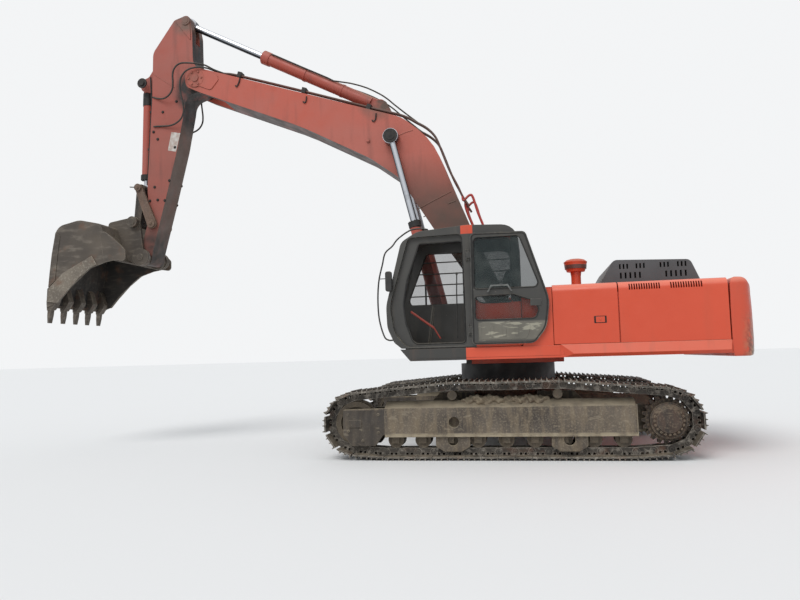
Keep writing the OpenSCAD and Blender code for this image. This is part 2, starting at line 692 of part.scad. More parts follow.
boom_side = [
    [-130, 2060, 150], [60, 2420, 600], [466, 3311, 0], [700, 3910, 1500], [1000, 4700, 1200], [1480, 5110, 500],
    [4600, 6176, 0], [4900, 6278, 60], [5150, 6290, 130], [5150, 5990, 130],
    [4872, 5850, 200], [3137, 5112, 3000], [2000, 4495, 500], [1545, 4150, 500],
    [1018, 3298, 1500], [190, 2015, 100], [10, 1870, 120]];
fork_x = 4480;
fork_in = arm_w / 2 + 22;
module boom() {
    side = outline(boom_side);
    half = boom_w / 2;
    color(c_faded) difference() {
        union() {
            difference() {
                wall_y(-half, half) polygon(side);
                wall_y(-half + plate_t, half - plate_t) intersection() {
                    polygon(inset(side, plate_t));
                    union() {
                        translate([300, 2400]) square([1500, 3200]);
                        translate([1799, 3000]) square([fork_x - 60 - 1799, 4000]);
                    }
                }
                // the fork is open between its plates
                box([fork_x, -fork_in, 5000], [5400, fork_in, 6500]);
            }
            both() bar_y(arm_pin, 150, fork_in, half + 15);
            both() bar_y(foot_pin, boss_r - 10, half - 1, half + 10);
            // lugs for the arm cylinder on top
            both() wall_y(75, 115) polygon(outline([
                [arm_cyl_pin[0] - 250, 5150, 0], [arm_cyl_pin[0] - 110, arm_cyl_pin[1] + 60, 90],
                [arm_cyl_pin[0] + 95, arm_cyl_pin[1] + 95, 90], [arm_cyl_pin[0] + 110, arm_cyl_pin[1] - 30, 60],
                [arm_cyl_pin[0] + 330, 5290, 0]]));
            // bosses where the boom cylinders hold
            both() bar_y(boom_eye, 125, half - 1, cyl_y - rod_pin_half - gap);
        }
        both() bar_y(foot_pin, foot_pin_r + gap, boom_w / 2 - 150, boom_w);
    }
    color(c_dark) {
        both() bar_y(arm_cyl_pin, 45 - gap, 58, 75);
    }
    color(c_worn) bar_y(arm_pin, 60 - gap, -half - 30, half + 30);
    color(c_worn) bar_y(arm_cyl_pin, 45 - gap, -115, 115);
}
module boom_pipes() {
    // steel lines on the boom's back, both sides of the arm cylinder
    back_a = [1480, 5110];
    back_b = [4600, 6176];
    t = aim(back_a, back_b);
    up = [-sin(t), cos(t)];
    color(c_dark) both() {
        for (y = [205, 255])
            tube([for (q = [[-420, -112], [-8, 46], [900, 45], [1700, 45], [2560, 45]])
                let (p = back_a + [cos(t), sin(t)] * q[0] + up * q[1]) [p[0], y, p[1]]], 17);
        // clamps that hold the lines on the boom's back
        for (s = [500, 1300, 2100])
            translate([back_a[0], 0, back_a[1]]) rotate([0, -t, 0])
                translate([s - 25, 180, gap]) cube([50, 100, 70]);
    }
}
// A tube of radius r swept along points in space, with a ring of sides at each point
function ring_at(p, i, r, sides) =
    let (
        d = unit(p[min(i + 1, len(p) - 1)] - p[max(i - 1, 0)]),
        side = unit(cross(d, abs(d[1]) < 0.9 ? [0, 1, 0] : [1, 0, 0])),
        up = cross(side, d))
    [for (k = [0 : sides - 1]) p[i] + r * (side * cos(360 * k / sides) + up * sin(360 * k / sides))];
module tube(p, r, sides = 8) {
    n = len(p);
    polyhedron(
        points = [for (i = [0 : n - 1]) each ring_at(p, i, r, sides)],
        faces = concat(
            [[for (k = [sides - 1 : -1 : 0]) k]],
            [for (i = [0 : n - 2], k = [0 : sides - 1])
                [i * sides + k, i * sides + (k + 1) % sides, (i + 1) * sides + (k + 1) % sides, (i + 1) * sides + k]],
            [[for (k = [0 : sides - 1]) (n - 1) * sides + k]]));
}

// Cylinders: a barrel with a foot eye and a gland, and a rod with its eye

module turned(a, b) {
    translate([a[0], 0, a[1]]) rotate([0, 90 - aim(a, b), 0]) children();
}
module barrel(a, b, length, r, rod_r, eye_r, eye_half, pin_r) {
    turned(a, b) difference() {
        union() {
            cylinder(r = r, h = length - 60);
            translate([0, 0, length - 61]) cylinder(r = r + 12, h = 61);
            rotate([90, 0, 0]) cylinder(r = eye_r, h = 2 * eye_half, center = true);
        }
        difference() {
            translate([0, 0, -eye_r - 1]) cylinder(r = r + 30, h = 2 * eye_r + 61);
            translate([-400, -eye_half, -eye_r - 2]) cube([800, 2 * eye_half, 2 * eye_r + 70]);
        }
        rotate([90, 0, 0]) cylinder(r = pin_r, h = 400, center = true);
        translate([0, 0, eye_r + 60]) cylinder(r = rod_r + gap, h = length);
    }
}
module rod(a, b, rod_len, r, eye_r, eye_half, pin_half) {
    turned(a, b) {
        cylinder(r = r, h = rod_len);
        rotate([90, 0, 0]) cylinder(r = eye_r, h = 2 * eye_half, center = true);
        rotate([90, 0, 0]) cylinder(r = 45, h = 2 * pin_half, center = true);
    }
}
boom_barrel_len = 1970;
boom_rod_len = 1960;
rod_pin_half = 59;     // half length of the pin in a boom cylinder's rod eye
module boom_barrels() {
    color(c_faded) both() translate([0, cyl_y, 0])
        barrel(boom_cyl_pin, boom_eye, boom_barrel_len, boom_cyl_r, boom_rod_r, 105, eye_w, 45);
}
module boom_rods() {
    color(c_chrome) both() translate([0, cyl_y, 0])
        rod(boom_eye, boom_cyl_pin, boom_rod_len, boom_rod_r, 120, rod_pin_half - 5, rod_pin_half);
}
arm_barrel_len = 2185;
arm_rod_len = 2200;
module arm_barrel() {
    color(c_faded) barrel(arm_cyl_pin, arm_eye, arm_barrel_len, arm_cyl_r, arm_rod_r, 110, 68, 45);
}
module arm_rod() {
    color(c_chrome) rod(arm_eye, arm_cyl_pin, arm_rod_len, arm_rod_r, 110, 60, 60);
}
bucket_barrel_len = 1630;
bucket_rod_len = 1640;
module bucket_barrel() {
    color(c_faded) barrel(bucket_cyl_pin, rod_pin, bucket_barrel_len, bucket_cyl_r, bucket_rod_r, 95, 65, 45);
}
module bucket_rod() {
    color(c_chrome) rod(rod_pin, bucket_cyl_pin, bucket_rod_len, bucket_rod_r, 95, 68, 70);
}

// Arm, links and bucket

arm_side = [
    [5060, 6300, 250], [5075, 7000, 150], [5130, 7290, 80], [5400, 7215, 80], [5800, 6680, 200], [5815, 5900, 300],
    [5905, 4300, 800], [5860, 3850, 500], [5990, 3400, 300], [6062, 3020, 100], [5838, 3020, 100],
    [5800, 3256, 300], [5575, 4089, 600], [5340, 5010, 600], [5215, 5650, 300], [5190, 5850, 200],
    [4810, 5960, 150], [4780, 6260, 150]];
module arm() {
    side = outline(arm_side);
    half = arm_w / 2;
    color(c_faded) difference() {
        union() {
            difference() {
                wall_y(-half, half) polygon(side);
                wall_y(-half + plate_t, half - plate_t) intersection() {
                    polygon(inset(side, plate_t));
                    translate([5000, 3950]) square([1200, 2700]);
                }
            }
            both() bar_y(arm_pin, 175, half - 1, half + 15);
            both() bar_y(rocker_pin, 95, half - 1, half + 5);
            // lugs for the bucket cylinder
            both() wall_y(72, 112) polygon(outline([
                [5700, 6640, 0], [5930, 6300, 100], [bucket_cyl_pin[0] + 60, bucket_cyl_pin[1] + 90, 90],
                [bucket_cyl_pin[0] + 95, bucket_cyl_pin[1] - 95, 90], [5830, 6010, 60], [5790, 5850, 0],
                [5700, 5850, 0]]));
        }
        // slot for the rod's eye at the arm's top, and the bores
        wall_y(-70, 70) polygon([[4900, 7020], [4900, 7400], [5600, 7400], [5600, 6900], [5330, 6770], [5040, 6820]]);
        both() bar_y(arm_pin, 60, -400, 400);
        bar_y(bucket_pin, 50.3, -400, 400);
        bar_y(rocker_pin, 50.3, -400, 400);
    }
    color(c_worn) {
        bar_y(bucket_cyl_pin, 45 - gap, -112, 112);
    }
}
module arm_pipes() {
    front_a = [5818, 5850];
    front_b = [5903, 4330];
    t = aim(front_a, front_b);
    out = [-sin(t), cos(t)];
    color(c_dark) both() {
        tube([for (q = [[-420, 75], [40, 26], [700, 26], [1380, 26]])
            let (p = front_a + [cos(t), sin(t)] * q[0] + out * q[1]) [p[0], 160, p[1]]], 14);
        for (s = [200, 850])
            translate([front_a[0], 0, front_a[1]]) rotate([0, -t, 0])
                translate([s - 20, 135, gap]) cube([40, 50, 44]);
    }
}
rocker_in = arm_w / 2 + 10;
rocker_t = 50;
module rocker() {
    color(c_worn) {
        both() wall_y(rocker_in, rocker_in + rocker_t)
            polygon(link_outline(rocker_pin, rod_pin, 80, 62));
        both() bar_y(rod_pin, 45 - gap, 90, rocker_in + rocker_t + 15);
        bar_y(rocker_pin, 50, -rocker_in, rocker_in);
        both() bar_y(rocker_pin, 50, rocker_in, rocker_in + rocker_t + 15);
    }
}
module push_link() {
    color(c_worn) {
        both() difference() {
            wall_y(85, 180) polygon(link_outline(rod_pin, link_pin, 75, 60));
            bar_y(rod_pin, 45, 0, 300);
        }
        wall_y(-86, 86) polygon(link_outline(along(link_pin, rod_pin, 60), along(link_pin, rod_pin, 380), 40, 40));
        bar_y(link_pin, 60, -180, 180);
    }
}
ear_in = arm_w / 2 + 5;
ear_t = 50;
bucket_top = [[6212, 3060, 30], [6430, 3655, 60], [6815, 3742, 300], [7195, 3650, 200], [7272, 3200, 500]];
bucket_lip = [[7352, 2330, 0]];
bucket_mouth = [[7165, 2440, 0], [6975, 2705, 150], [6610, 2975, 250]];
module bucket() {
    whole = concat(bucket_top, bucket_lip, bucket_mouth);
    hollow = concat(bucket_top, bucket_lip, [[6900, 2150, 0], [6300, 2700, 0]]);
    half = bucket_w / 2;
    color(c_worn) {
        difference() {
            wall_y(-half, half) polygon(outline(whole));
            wall_y(-half + bucket_t, half - bucket_t) polygon(inset(outline(hollow), bucket_t));
        }
        // side cutters
        both() wall_y(half - 1, half + 22) polygon([
            [7345, 2360], [7165, 2420], [6960, 2690], [7000, 2800], [7190, 2560], [7335, 2530]]);
        // ears with their bosses
        both() difference() {
            union() {
                wall_y(ear_in, ear_in + ear_t) polygon(outline([
                    [5850, 3160, 95], [6035, 3790, 80], [6180, 3830, 80], [6640, 3760, 60], [6560, 3640, 0],
                    [6250, 3120, 0], [6010, 3010, 110], [5850, 3020, 100]]));
                bar_y(bucket_pin, 100, ear_in + ear_t - 1, 330);
                bar_y(link_pin, 80, ear_in + ear_t - 1, 330);
            }
            bar_y(link_pin, 50, 0, 400);
        }
        bar_y(bucket_pin, 50, -330, 330);
        both() bar_y(link_pin, 50, ear_in, 345);
        // teeth along the lip
        for (i = [0 : teeth - 1]) {
            y = -half + 80 + i * (bucket_w - 160) / (teeth - 1);
            wall_y(y - 50, y + 50) polygon([
                [7290, 2600], [7345, 2600], [7372, 2350], [7386, 2155], [7370, 2155], [7310, 2330], [7250, 2420]]);
        }
    }
}

carbody();
slew_bearing();
track_frame_left();
track_frame_right();
track_left();
track_right();
sprocket_left();
sprocket_right();
idler_left();
idler_right();
rollers_left();
rollers_right();
revolving_frame();
cab_shell();
cab_glass();
seat();
consoles();
cab_door();
cab_door_glass();
housing_left();
housing_right();
left_front_door();
left_rear_door();
right_rear_door();
counterweight();
engine();
hood();
precleaner();
handrails();
boom();
boom_pipes();
boom_barrels();
boom_rods();
arm_barrel();
arm_rod();
arm();
arm_pipes();
bucket_barrel();
bucket_rod();
rocker();
push_link();
bucket();
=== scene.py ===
import math

import bmesh
import bpy
import numpy as np
from mathutils import Matrix


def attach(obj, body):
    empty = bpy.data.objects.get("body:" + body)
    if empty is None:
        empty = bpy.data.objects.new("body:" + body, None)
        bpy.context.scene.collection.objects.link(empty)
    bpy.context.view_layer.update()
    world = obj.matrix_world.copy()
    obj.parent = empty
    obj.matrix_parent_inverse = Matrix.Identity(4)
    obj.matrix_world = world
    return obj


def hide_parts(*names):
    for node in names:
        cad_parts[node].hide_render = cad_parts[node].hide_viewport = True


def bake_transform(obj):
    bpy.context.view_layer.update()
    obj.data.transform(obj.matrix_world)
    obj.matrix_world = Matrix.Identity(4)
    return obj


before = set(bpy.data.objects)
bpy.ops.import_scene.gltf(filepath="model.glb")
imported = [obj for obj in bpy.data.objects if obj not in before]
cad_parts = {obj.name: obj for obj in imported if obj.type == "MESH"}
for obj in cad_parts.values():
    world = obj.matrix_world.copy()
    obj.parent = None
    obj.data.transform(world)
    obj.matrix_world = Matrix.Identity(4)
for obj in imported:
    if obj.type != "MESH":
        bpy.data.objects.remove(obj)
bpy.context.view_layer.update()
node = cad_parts

# Camera, floor and light. The camera stands where the photographer stood, level with the top of
# the tracks, 10.6 m to the left of the machine's middle. The floor is a plain pale sheet, and the
# light is a pale sky with one broad lamp high up on the camera's side.
EYE = (-0.392, 10.574, 1.405)
YAW, PITCH, ROLL = math.radians(10.88), math.radians(4.53), math.radians(-1.62)
FOCAL_PX = 682.7
PHOTO_WIDTH_PX = 800
SENSOR_MM = 36.0
FLOOR_SIZE = 400.0


def plug(tree, made, inputs):
    """Sets a node's inputs, each to a value or to a link from another node."""
    for name, value in inputs.items():
        if isinstance(value, bpy.types.NodeSocket):
            tree.links.new(value, made.inputs[name])
        else:
            made.inputs[name].default_value = value


def adder(tree):
    """A function that adds one node to a tree, with its inputs, and its settings by name."""
    def add(kind, inputs=None, **settings):
        made = tree.nodes.new("ShaderNode" + kind)
        for name, value in settings.items():
            setattr(made, name, value)
        plug(tree, made, inputs or {})
        return made
    return add


def mesh_object(name, points, faces):
    """An object at the origin from an array of points and a list, or an array, of faces."""
    mesh = bpy.data.meshes.new(name)
    rows = faces.tolist() if isinstance(faces, np.ndarray) else faces
    mesh.from_pydata(np.asarray(points, float).tolist(), [], rows)
    made = bpy.data.objects.new(name, mesh)
    bpy.context.scene.collection.objects.link(made)
    return made


# The axes of the view: forward is turned from -Y by the yaw and raised by the pitch, right lies level
# and square to it, and both right and up are then rolled about forward.
forward = np.array([math.sin(YAW) * math.cos(PITCH), -math.cos(YAW) * math.cos(PITCH), math.sin(PITCH)])
level = np.cross(forward, [0, 0, 1]) / np.linalg.norm(np.cross(forward, [0, 0, 1]))
top = np.cross(level, forward)
turn = np.eye(4)
turn[:3, 0] = math.cos(ROLL) * level + math.sin(ROLL) * top
turn[:3, 1] = math.cos(ROLL) * top - math.sin(ROLL) * level
turn[:3, 2] = -forward
turn[:3, 3] = EYE
eye = bpy.data.objects.new("camera", bpy.data.cameras.new("camera"))
bpy.context.scene.collection.objects.link(eye)
eye.matrix_world = Matrix(turn.tolist())
eye.data.sensor_width = SENSOR_MM
eye.data.lens = SENSOR_MM * FOCAL_PX / PHOTO_WIDTH_PX
eye.data.clip_end = 500
bpy.context.scene.camera = eye
bpy.context.scene.view_settings.view_transform = "Standard"

edge = FLOOR_SIZE / 2
floor = mesh_object("floor", [(-edge, -edge, 0), (edge, -edge, 0), (edge, edge, 0), (-edge, edge, 0)], [(0, 1, 2, 3)])
pale = bpy.data.materials.new("pale_floor")
pale.use_nodes = True
pale.node_tree.nodes["Principled BSDF"].inputs["Base Color"].default_value = (0.80, 0.80, 0.79, 1)
pale.node_tree.nodes["Principled BSDF"].inputs["Roughness"].default_value = 0.9
floor.data.materials.append(pale)

sky = bpy.data.worlds.new("sky")
bpy.context.scene.world = sky
sky.use_nodes = True
add = adder(sky.node_tree)
sky_light = sky.node_tree.nodes["Background"]
sky_light.inputs["Color"].default_value = (0.93, 0.96, 1.0, 1)
sky_light.inputs["Strength"].default_value = 0.72
backdrop = add("Background", {"Color": (0.90, 0.91, 0.92, 1), "Strength": 1.0})
seen = add("LightPath")
seen_or_through = add("Math", {0: seen.outputs["Is Camera Ray"], 1: seen.outputs["Is Transmission Ray"]},
                      operation="MAXIMUM")
both_skies = add("MixShader", {0: seen_or_through.outputs[0], 1: sky_light.outputs[0], 2: backdrop.outputs[0]})
sky.node_tree.links.new(both_skies.outputs[0], sky.node_tree.nodes["World Output"].inputs["Surface"])

lamp = bpy.data.objects.new("lamp", bpy.data.lights.new("lamp", "SUN"))
bpy.context.scene.collection.objects.link(lamp)
lamp.data.energy = 1.5
lamp.data.angle = math.radians(35)
lamp.rotation_euler = (math.radians(-38), math.radians(14), 0)


# Lower frame: the carbody, the two track frames and the axle beams, welded from thick plate. What is
# left of the grey paint lies under dried mud, palest along the edges and thickest on the sloped roof.
def linear(r, g, b):
    """A colour from 0 to 255 a channel as seen, turned to the linear light that shaders take."""
    share = np.array([r, g, b]) / 255
    value = np.where(share <= 0.04045, share / 12.92, ((share + 0.055) / 1.055) ** 2.4)
    return (*value.tolist(), 1.0)


class Finish:
    """A material in the making, on object coordinates: each maker adds nodes and gives the last one's output."""

    def __init__(self, name):
        self.made = bpy.data.materials.new(name)
        self.made.use_nodes = True
        self.new = adder(self.made.node_tree)
        self.place = self.new("TexCoord").outputs["Object"]

    def noise(self, scale, detail=4.0, stretch=(1, 1, 1)):
        """Fractal noise of so many waves to the metre, stretched by a factor along each axis."""
        placed = self.new("Mapping", {"Vector": self.place, "Scale": stretch})
        return self.new("TexNoise", {"Vector": placed.outputs[0], "Scale": scale, "Detail": detail}).outputs["Fac"]

    def ramp(self, value, low, high, start=0.0, end=1.0):
        """A value that goes from start at low to end at high and stays there."""
        return self.new("MapRange", {0: value, 1: low, 2: high, 3: start, 4: end}).outputs[0]

    def mix(self, share, a, b):
        """A blend from colour a to colour b, each given from 0 to 255 a channel or as another blend."""
        a, b = (linear(*colour) if isinstance(colour, tuple) else colour for colour in (a, b))
        return self.new("Mix", {0: share, 6: a, 7: b}, data_type="RGBA").outputs[2]

    def both(self, operation, a, b):
        """Two masks added or compared, kept between 0 and 1."""
        return self.new("Math", {0: a, 1: b}, operation=operation, use_clamp=True).outputs[0]

    def times(self, a, b):
        """Two masks multiplied: 1 only where both are."""
        return self.both("MULTIPLY", a, b)

    def vector(self, operation, a, b=(0, 0, 0)):
        """Two vectors worked on by an operation."""
        return self.new("VectorMath", {0: a, 1: b}, operation=operation)

    def facing(self, direction, low, high):
        """1 where a surface faces a direction, 0 where it faces away: the normal's share along it, between bounds."""
        normal = self.new("NewGeometry").outputs["Normal"]
        return self.ramp(self.vector("DOT_PRODUCT", normal, direction).outputs["Value"], low, high)

    def edges(self, width):
        """1 on edges: the normal rounded over a width has turned away from the true one by 2 to 18 per cent."""
        turned = self.new("Bevel", {"Radius": width}, samples=4).outputs[0]
        normal = self.new("NewGeometry").outputs["Normal"]
        return self.ramp(self.vector("DOT_PRODUCT", turned, normal).outputs["Value"], 0.98, 0.82)

    def along(self, axis, off, on):
        """0 at one place along X, Y or Z and 1 at another, in metres, and the same beyond them."""
        return self.ramp(self.new("SeparateXYZ", {0: self.place}).outputs[axis], off, on)

    def near(self, centre, inner, outer, squeeze=(1, 1, 1)):
        """1 closer to a point than the inner distance and 0 past the outer one, squeezed along the axes."""
        apart = self.vector("SUBTRACT", self.place, centre).outputs["Vector"]
        scaled = self.vector("MULTIPLY", apart, squeeze).outputs["Vector"]
        return self.ramp(self.vector("LENGTH", scaled).outputs["Value"], inner, outer, 1.0, 0.0)

    def close(self, colour, roughness, bumps=(), **others):
        """Gives the material, once colour, roughness and bumps (height, strength, depth in metres) are joined on."""
        inputs = {"Base Color": colour, "Roughness": roughness, **others}
        for height, strength, depth in bumps:
            bump = {"Height": height, "Strength": strength, "Distance": depth}
            if "Normal" in inputs:
                bump["Normal"] = inputs["Normal"]
            inputs["Normal"] = self.new("Bump", bump).outputs[0]
        tree = self.made.node_tree
        plug(tree, tree.nodes["Principled BSDF"], inputs)
        return self.made


UP = (0, 0, 1)


def caked(name, steel, dark, mud, dust, rough=0.85, crust=0.4, shine=0.0, edges=0.8, zones=None):
    """Steel under dried mud: dark and bare patches, runs of mud down the sides, dust on top and along edges."""
    f = Finish(name)
    colour = f.mix(f.ramp(f.noise(1.3, 5), 0.38, 0.62), steel, dark)
    colour = f.mix(f.ramp(f.noise(5.0, 6, (3.0, 3.0, 0.6)), 0.42, 0.68, 0.0, 0.75), colour, mud)
    grains = f.noise(48, 5)
    colour = f.mix(f.ramp(grains, 0.50, 0.75, 0.0, 0.45), colour, dust)
    if zones:
        colour = zones(f, colour)
    lumps = f.noise(6.5, 8)
    colour = f.mix(f.times(f.facing(UP, 0.2, 0.75), f.ramp(lumps, 0.3, 0.62, 0.25, 0.8)), colour, dust)
    colour = f.mix(f.times(f.edges(0.014), f.ramp(f.noise(7, 4), 0.35, 0.60, 0.2, edges)), colour, dust)
    colour = f.mix(f.ramp(f.noise(9, 4, (0.7, 1, 2)), 0.63, 0.70, 0.0, 0.3), colour, dust)
    return f.close(colour, f.ramp(lumps, 0.3, 0.6, rough - 0.2, rough), [(lumps, crust, 0.02), (grains, crust, 0.004)],
                   Metallic=shine)


def wear(names, finish):
    """CAD pieces that take a finish as they are."""
    for name in names:
        node[name].data.materials.clear()
        node[name].data.materials.append(finish)


MUD = (122, 108, 88)
DUST = (158, 146, 124)


def guard_and_edges(f, base):
    """The idler guard is dark and scraped, and mud lies palest along the beam's lower edge."""
    guard = f.times(f.along("X", 1.612, 1.622), f.along("Z", 0.662, 0.652))
    base = f.mix(f.times(guard, f.ramp(f.noise(6, 5, (2, 2, 0.6)), 0.35, 0.7, 0.95, 0.55)), base, (56, 51, 47))
    sill = f.times(f.along("Z", 0.350, 0.335), f.along("Z", 0.290, 0.296))
    sill = f.times(sill, f.along("X", 1.612, 1.606))
    return f.mix(f.times(sill, f.ramp(f.noise(9, 5), 0.35, 0.6, 0.2, 0.9)), base, DUST)


frame_mud = caked("undercarriage_dusty", (104, 94, 82), (66, 59, 53), MUD, DUST, zones=guard_and_edges)
wear(["carbody"], frame_mud)


def rounded(rows, steps=7):
    """An outline in metres from rows of two places and a radius in millimetres, its corners arcs."""
    table = np.asarray(rows, float) / 1000
    here, radius = table[:, :2], table[:, 2:]
    back, on = np.roll(here, 1, axis=0) - here, np.roll(here, -1, axis=0) - here
    back, on = (v / np.linalg.norm(v, axis=1, keepdims=True) for v in (back, on))
    half = np.arccos(np.clip((back * on).sum(axis=1, keepdims=True), -1, 1)) / 2
    middle = back + on
    middle /= np.linalg.norm(middle, axis=1, keepdims=True) + 1e-12
    centre = here + middle * radius / np.sin(half)
    first, last = here + back * radius / np.tan(half) - centre, here + on * radius / np.tan(half) - centre
    start = np.arctan2(first[:, 1], first[:, 0])
    turn_by = (np.arctan2(last[:, 1], last[:, 0]) - start + math.pi) % (2 * math.pi) - math.pi
    angle = start[:, None] + turn_by[:, None] * np.linspace(0, 1, steps)
    arcs = centre[:, None] + radius[:, None] * np.stack([np.cos(angle), np.sin(angle)], axis=-1)
    line = arcs.reshape(-1, 2)
    return line[np.linalg.norm(line - np.roll(line, 1, axis=0), axis=1) > 1e-5]


def inset(line, by):
    """A closed outline moved inwards: each side is shifted by the distance and neighbours meet again."""
    area = np.sum(line[:, 0] * np.roll(line[:, 1], -1) - line[:, 1] * np.roll(line[:, 0], -1))
    on = np.roll(line, -1, axis=0) - line
    on /= np.linalg.norm(on, axis=1, keepdims=True)
    across = np.column_stack([-on[:, 1], on[:, 0]]) * np.sign(area)
    sum_of_two = across + np.roll(across, 1, axis=0)
    return line + sum_of_two * (2 * by / np.sum(sum_of_two ** 2, axis=1, keepdims=True))


def ring_faces(rings, sides, closed=False):
    """Faces between rings of points: closed joins the last ring to the first, or else each end gets a cap."""
    row, column = np.arange(rings if closed else rings - 1)[:, None] * sides, np.arange(sides)[None]
    after, above = (column + 1) % sides, (row + sides) % (rings * sides)
    faces = np.stack([row + column, row + after, above + after, above + column], axis=-1).reshape(-1, 4).tolist()
    last = (rings - 1) * sides
    return faces if closed else faces + [list(range(sides - 1, -1, -1)), list(range(last, last + sides))]


def prism(line, axis, low, high):
    """A closed outline pushed along an axis (0 for X, 1 for Y, 2 for Z) from one place to another."""
    count = len(line)
    points = np.zeros((2, count, 3))
    points[:, :, [i for i in range(3) if i != axis]] = line
    points[0, :, axis], points[1, :, axis] = sorted((low, high))
    return points.reshape(-1, 3), ring_faces(2, count)


def block(low, high):
    """A box between two corners."""
    (x0, y0, z0), (x1, y1, z1) = low, high
    return prism(np.array([(x0, z0), (x1, z0), (x1, z1), (x0, z1)]), 1, y0, y1)


def arc(centre, radius, start, end, count):
    """Points on an arc: the centre and the radius times the cosine and the sine of angles, given in degrees."""
    angle = np.radians(np.linspace(start, end, count))
    return np.column_stack([centre[0] + radius * np.cos(angle), centre[1] + radius * np.sin(angle)])


def round_bar(centre, radius, axis, low, high, sides=40):
    """A round bar along an axis, its centre the two places across it."""
    return prism(arc(centre, radius, 0, 360, sides + 1)[:-1], axis, low, high)


def joined(parts):
    """Several pairs of points and faces as one pair."""
    points, faces, base = [], [], 0
    for some_points, some_faces in parts:
        points.append(some_points)
        faces += [[base + i for i in face] for face in some_faces]
        base += len(some_points)
    return np.vstack(points), faces


def face_outwards(made):
    """Turns every closed shell of a mesh right way out."""
    work = bmesh.new()
    work.from_mesh(made.data)
    bmesh.ops.recalc_face_normals(work, faces=work.faces)
    work.to_mesh(made.data)
    work.free()


def smooth(made, angle=32):
    """Smooth shading up to an angle between neighbouring faces."""
    made.data.polygons.foreach_set("use_smooth", np.ones(len(made.data.polygons), bool))
    made.data.set_sharp_from_angle(angle=math.radians(angle))


def solid(name, parts, holes=(), rim=0.004, angle=32):
    """Closed shells as one object, with holes cut out of it and its sharp edges rounded by the rim."""
    made = mesh_object(name, *joined(parts))
    face_outwards(made)
    tools = []
    for hole in holes:
        tool = mesh_object(name + "_hole", *hole)
        face_outwards(tool)
        cut = made.modifiers.new("cut", "BOOLEAN")
        cut.operation, cut.object, cut.solver, cut.use_self = "DIFFERENCE", tool, "EXACT", True
        tools.append(tool)
    if tools:
        baked = bpy.data.meshes.new_from_object(made.evaluated_get(bpy.context.evaluated_depsgraph_get()))
        made.modifiers.clear()
        made.data = baked
        for tool in tools:
            bpy.data.objects.remove(tool)
    smooth(made, angle)
    if rim:
        edges = made.modifiers.new("rim", "BEVEL")
        edges.width, edges.segments, edges.limit_method = rim, 2, "ANGLE"
        edges.angle_limit, edges.harden_normals = math.radians(angle), True
    return made


def mirrored(parts, side):
    """The same shells on the other side of the machine where the side is -1."""
    return [(points * (1, side, 1), faces) for points, faces in parts]


def both_sides(parts):
    """Shells of the left side, and the same shells on the right."""
    return mirrored(parts, 1) + mirrored(parts, -1)


def fit(made, finish, body, instead_of=()):
    """Gives a piece its finish and the body it rides on, and hides the CAD nodes it stands for."""
    made.data.materials.clear()
    made.data.materials.append(finish)
    if instead_of:
        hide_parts(*instead_of)
    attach(made, body)
    return made


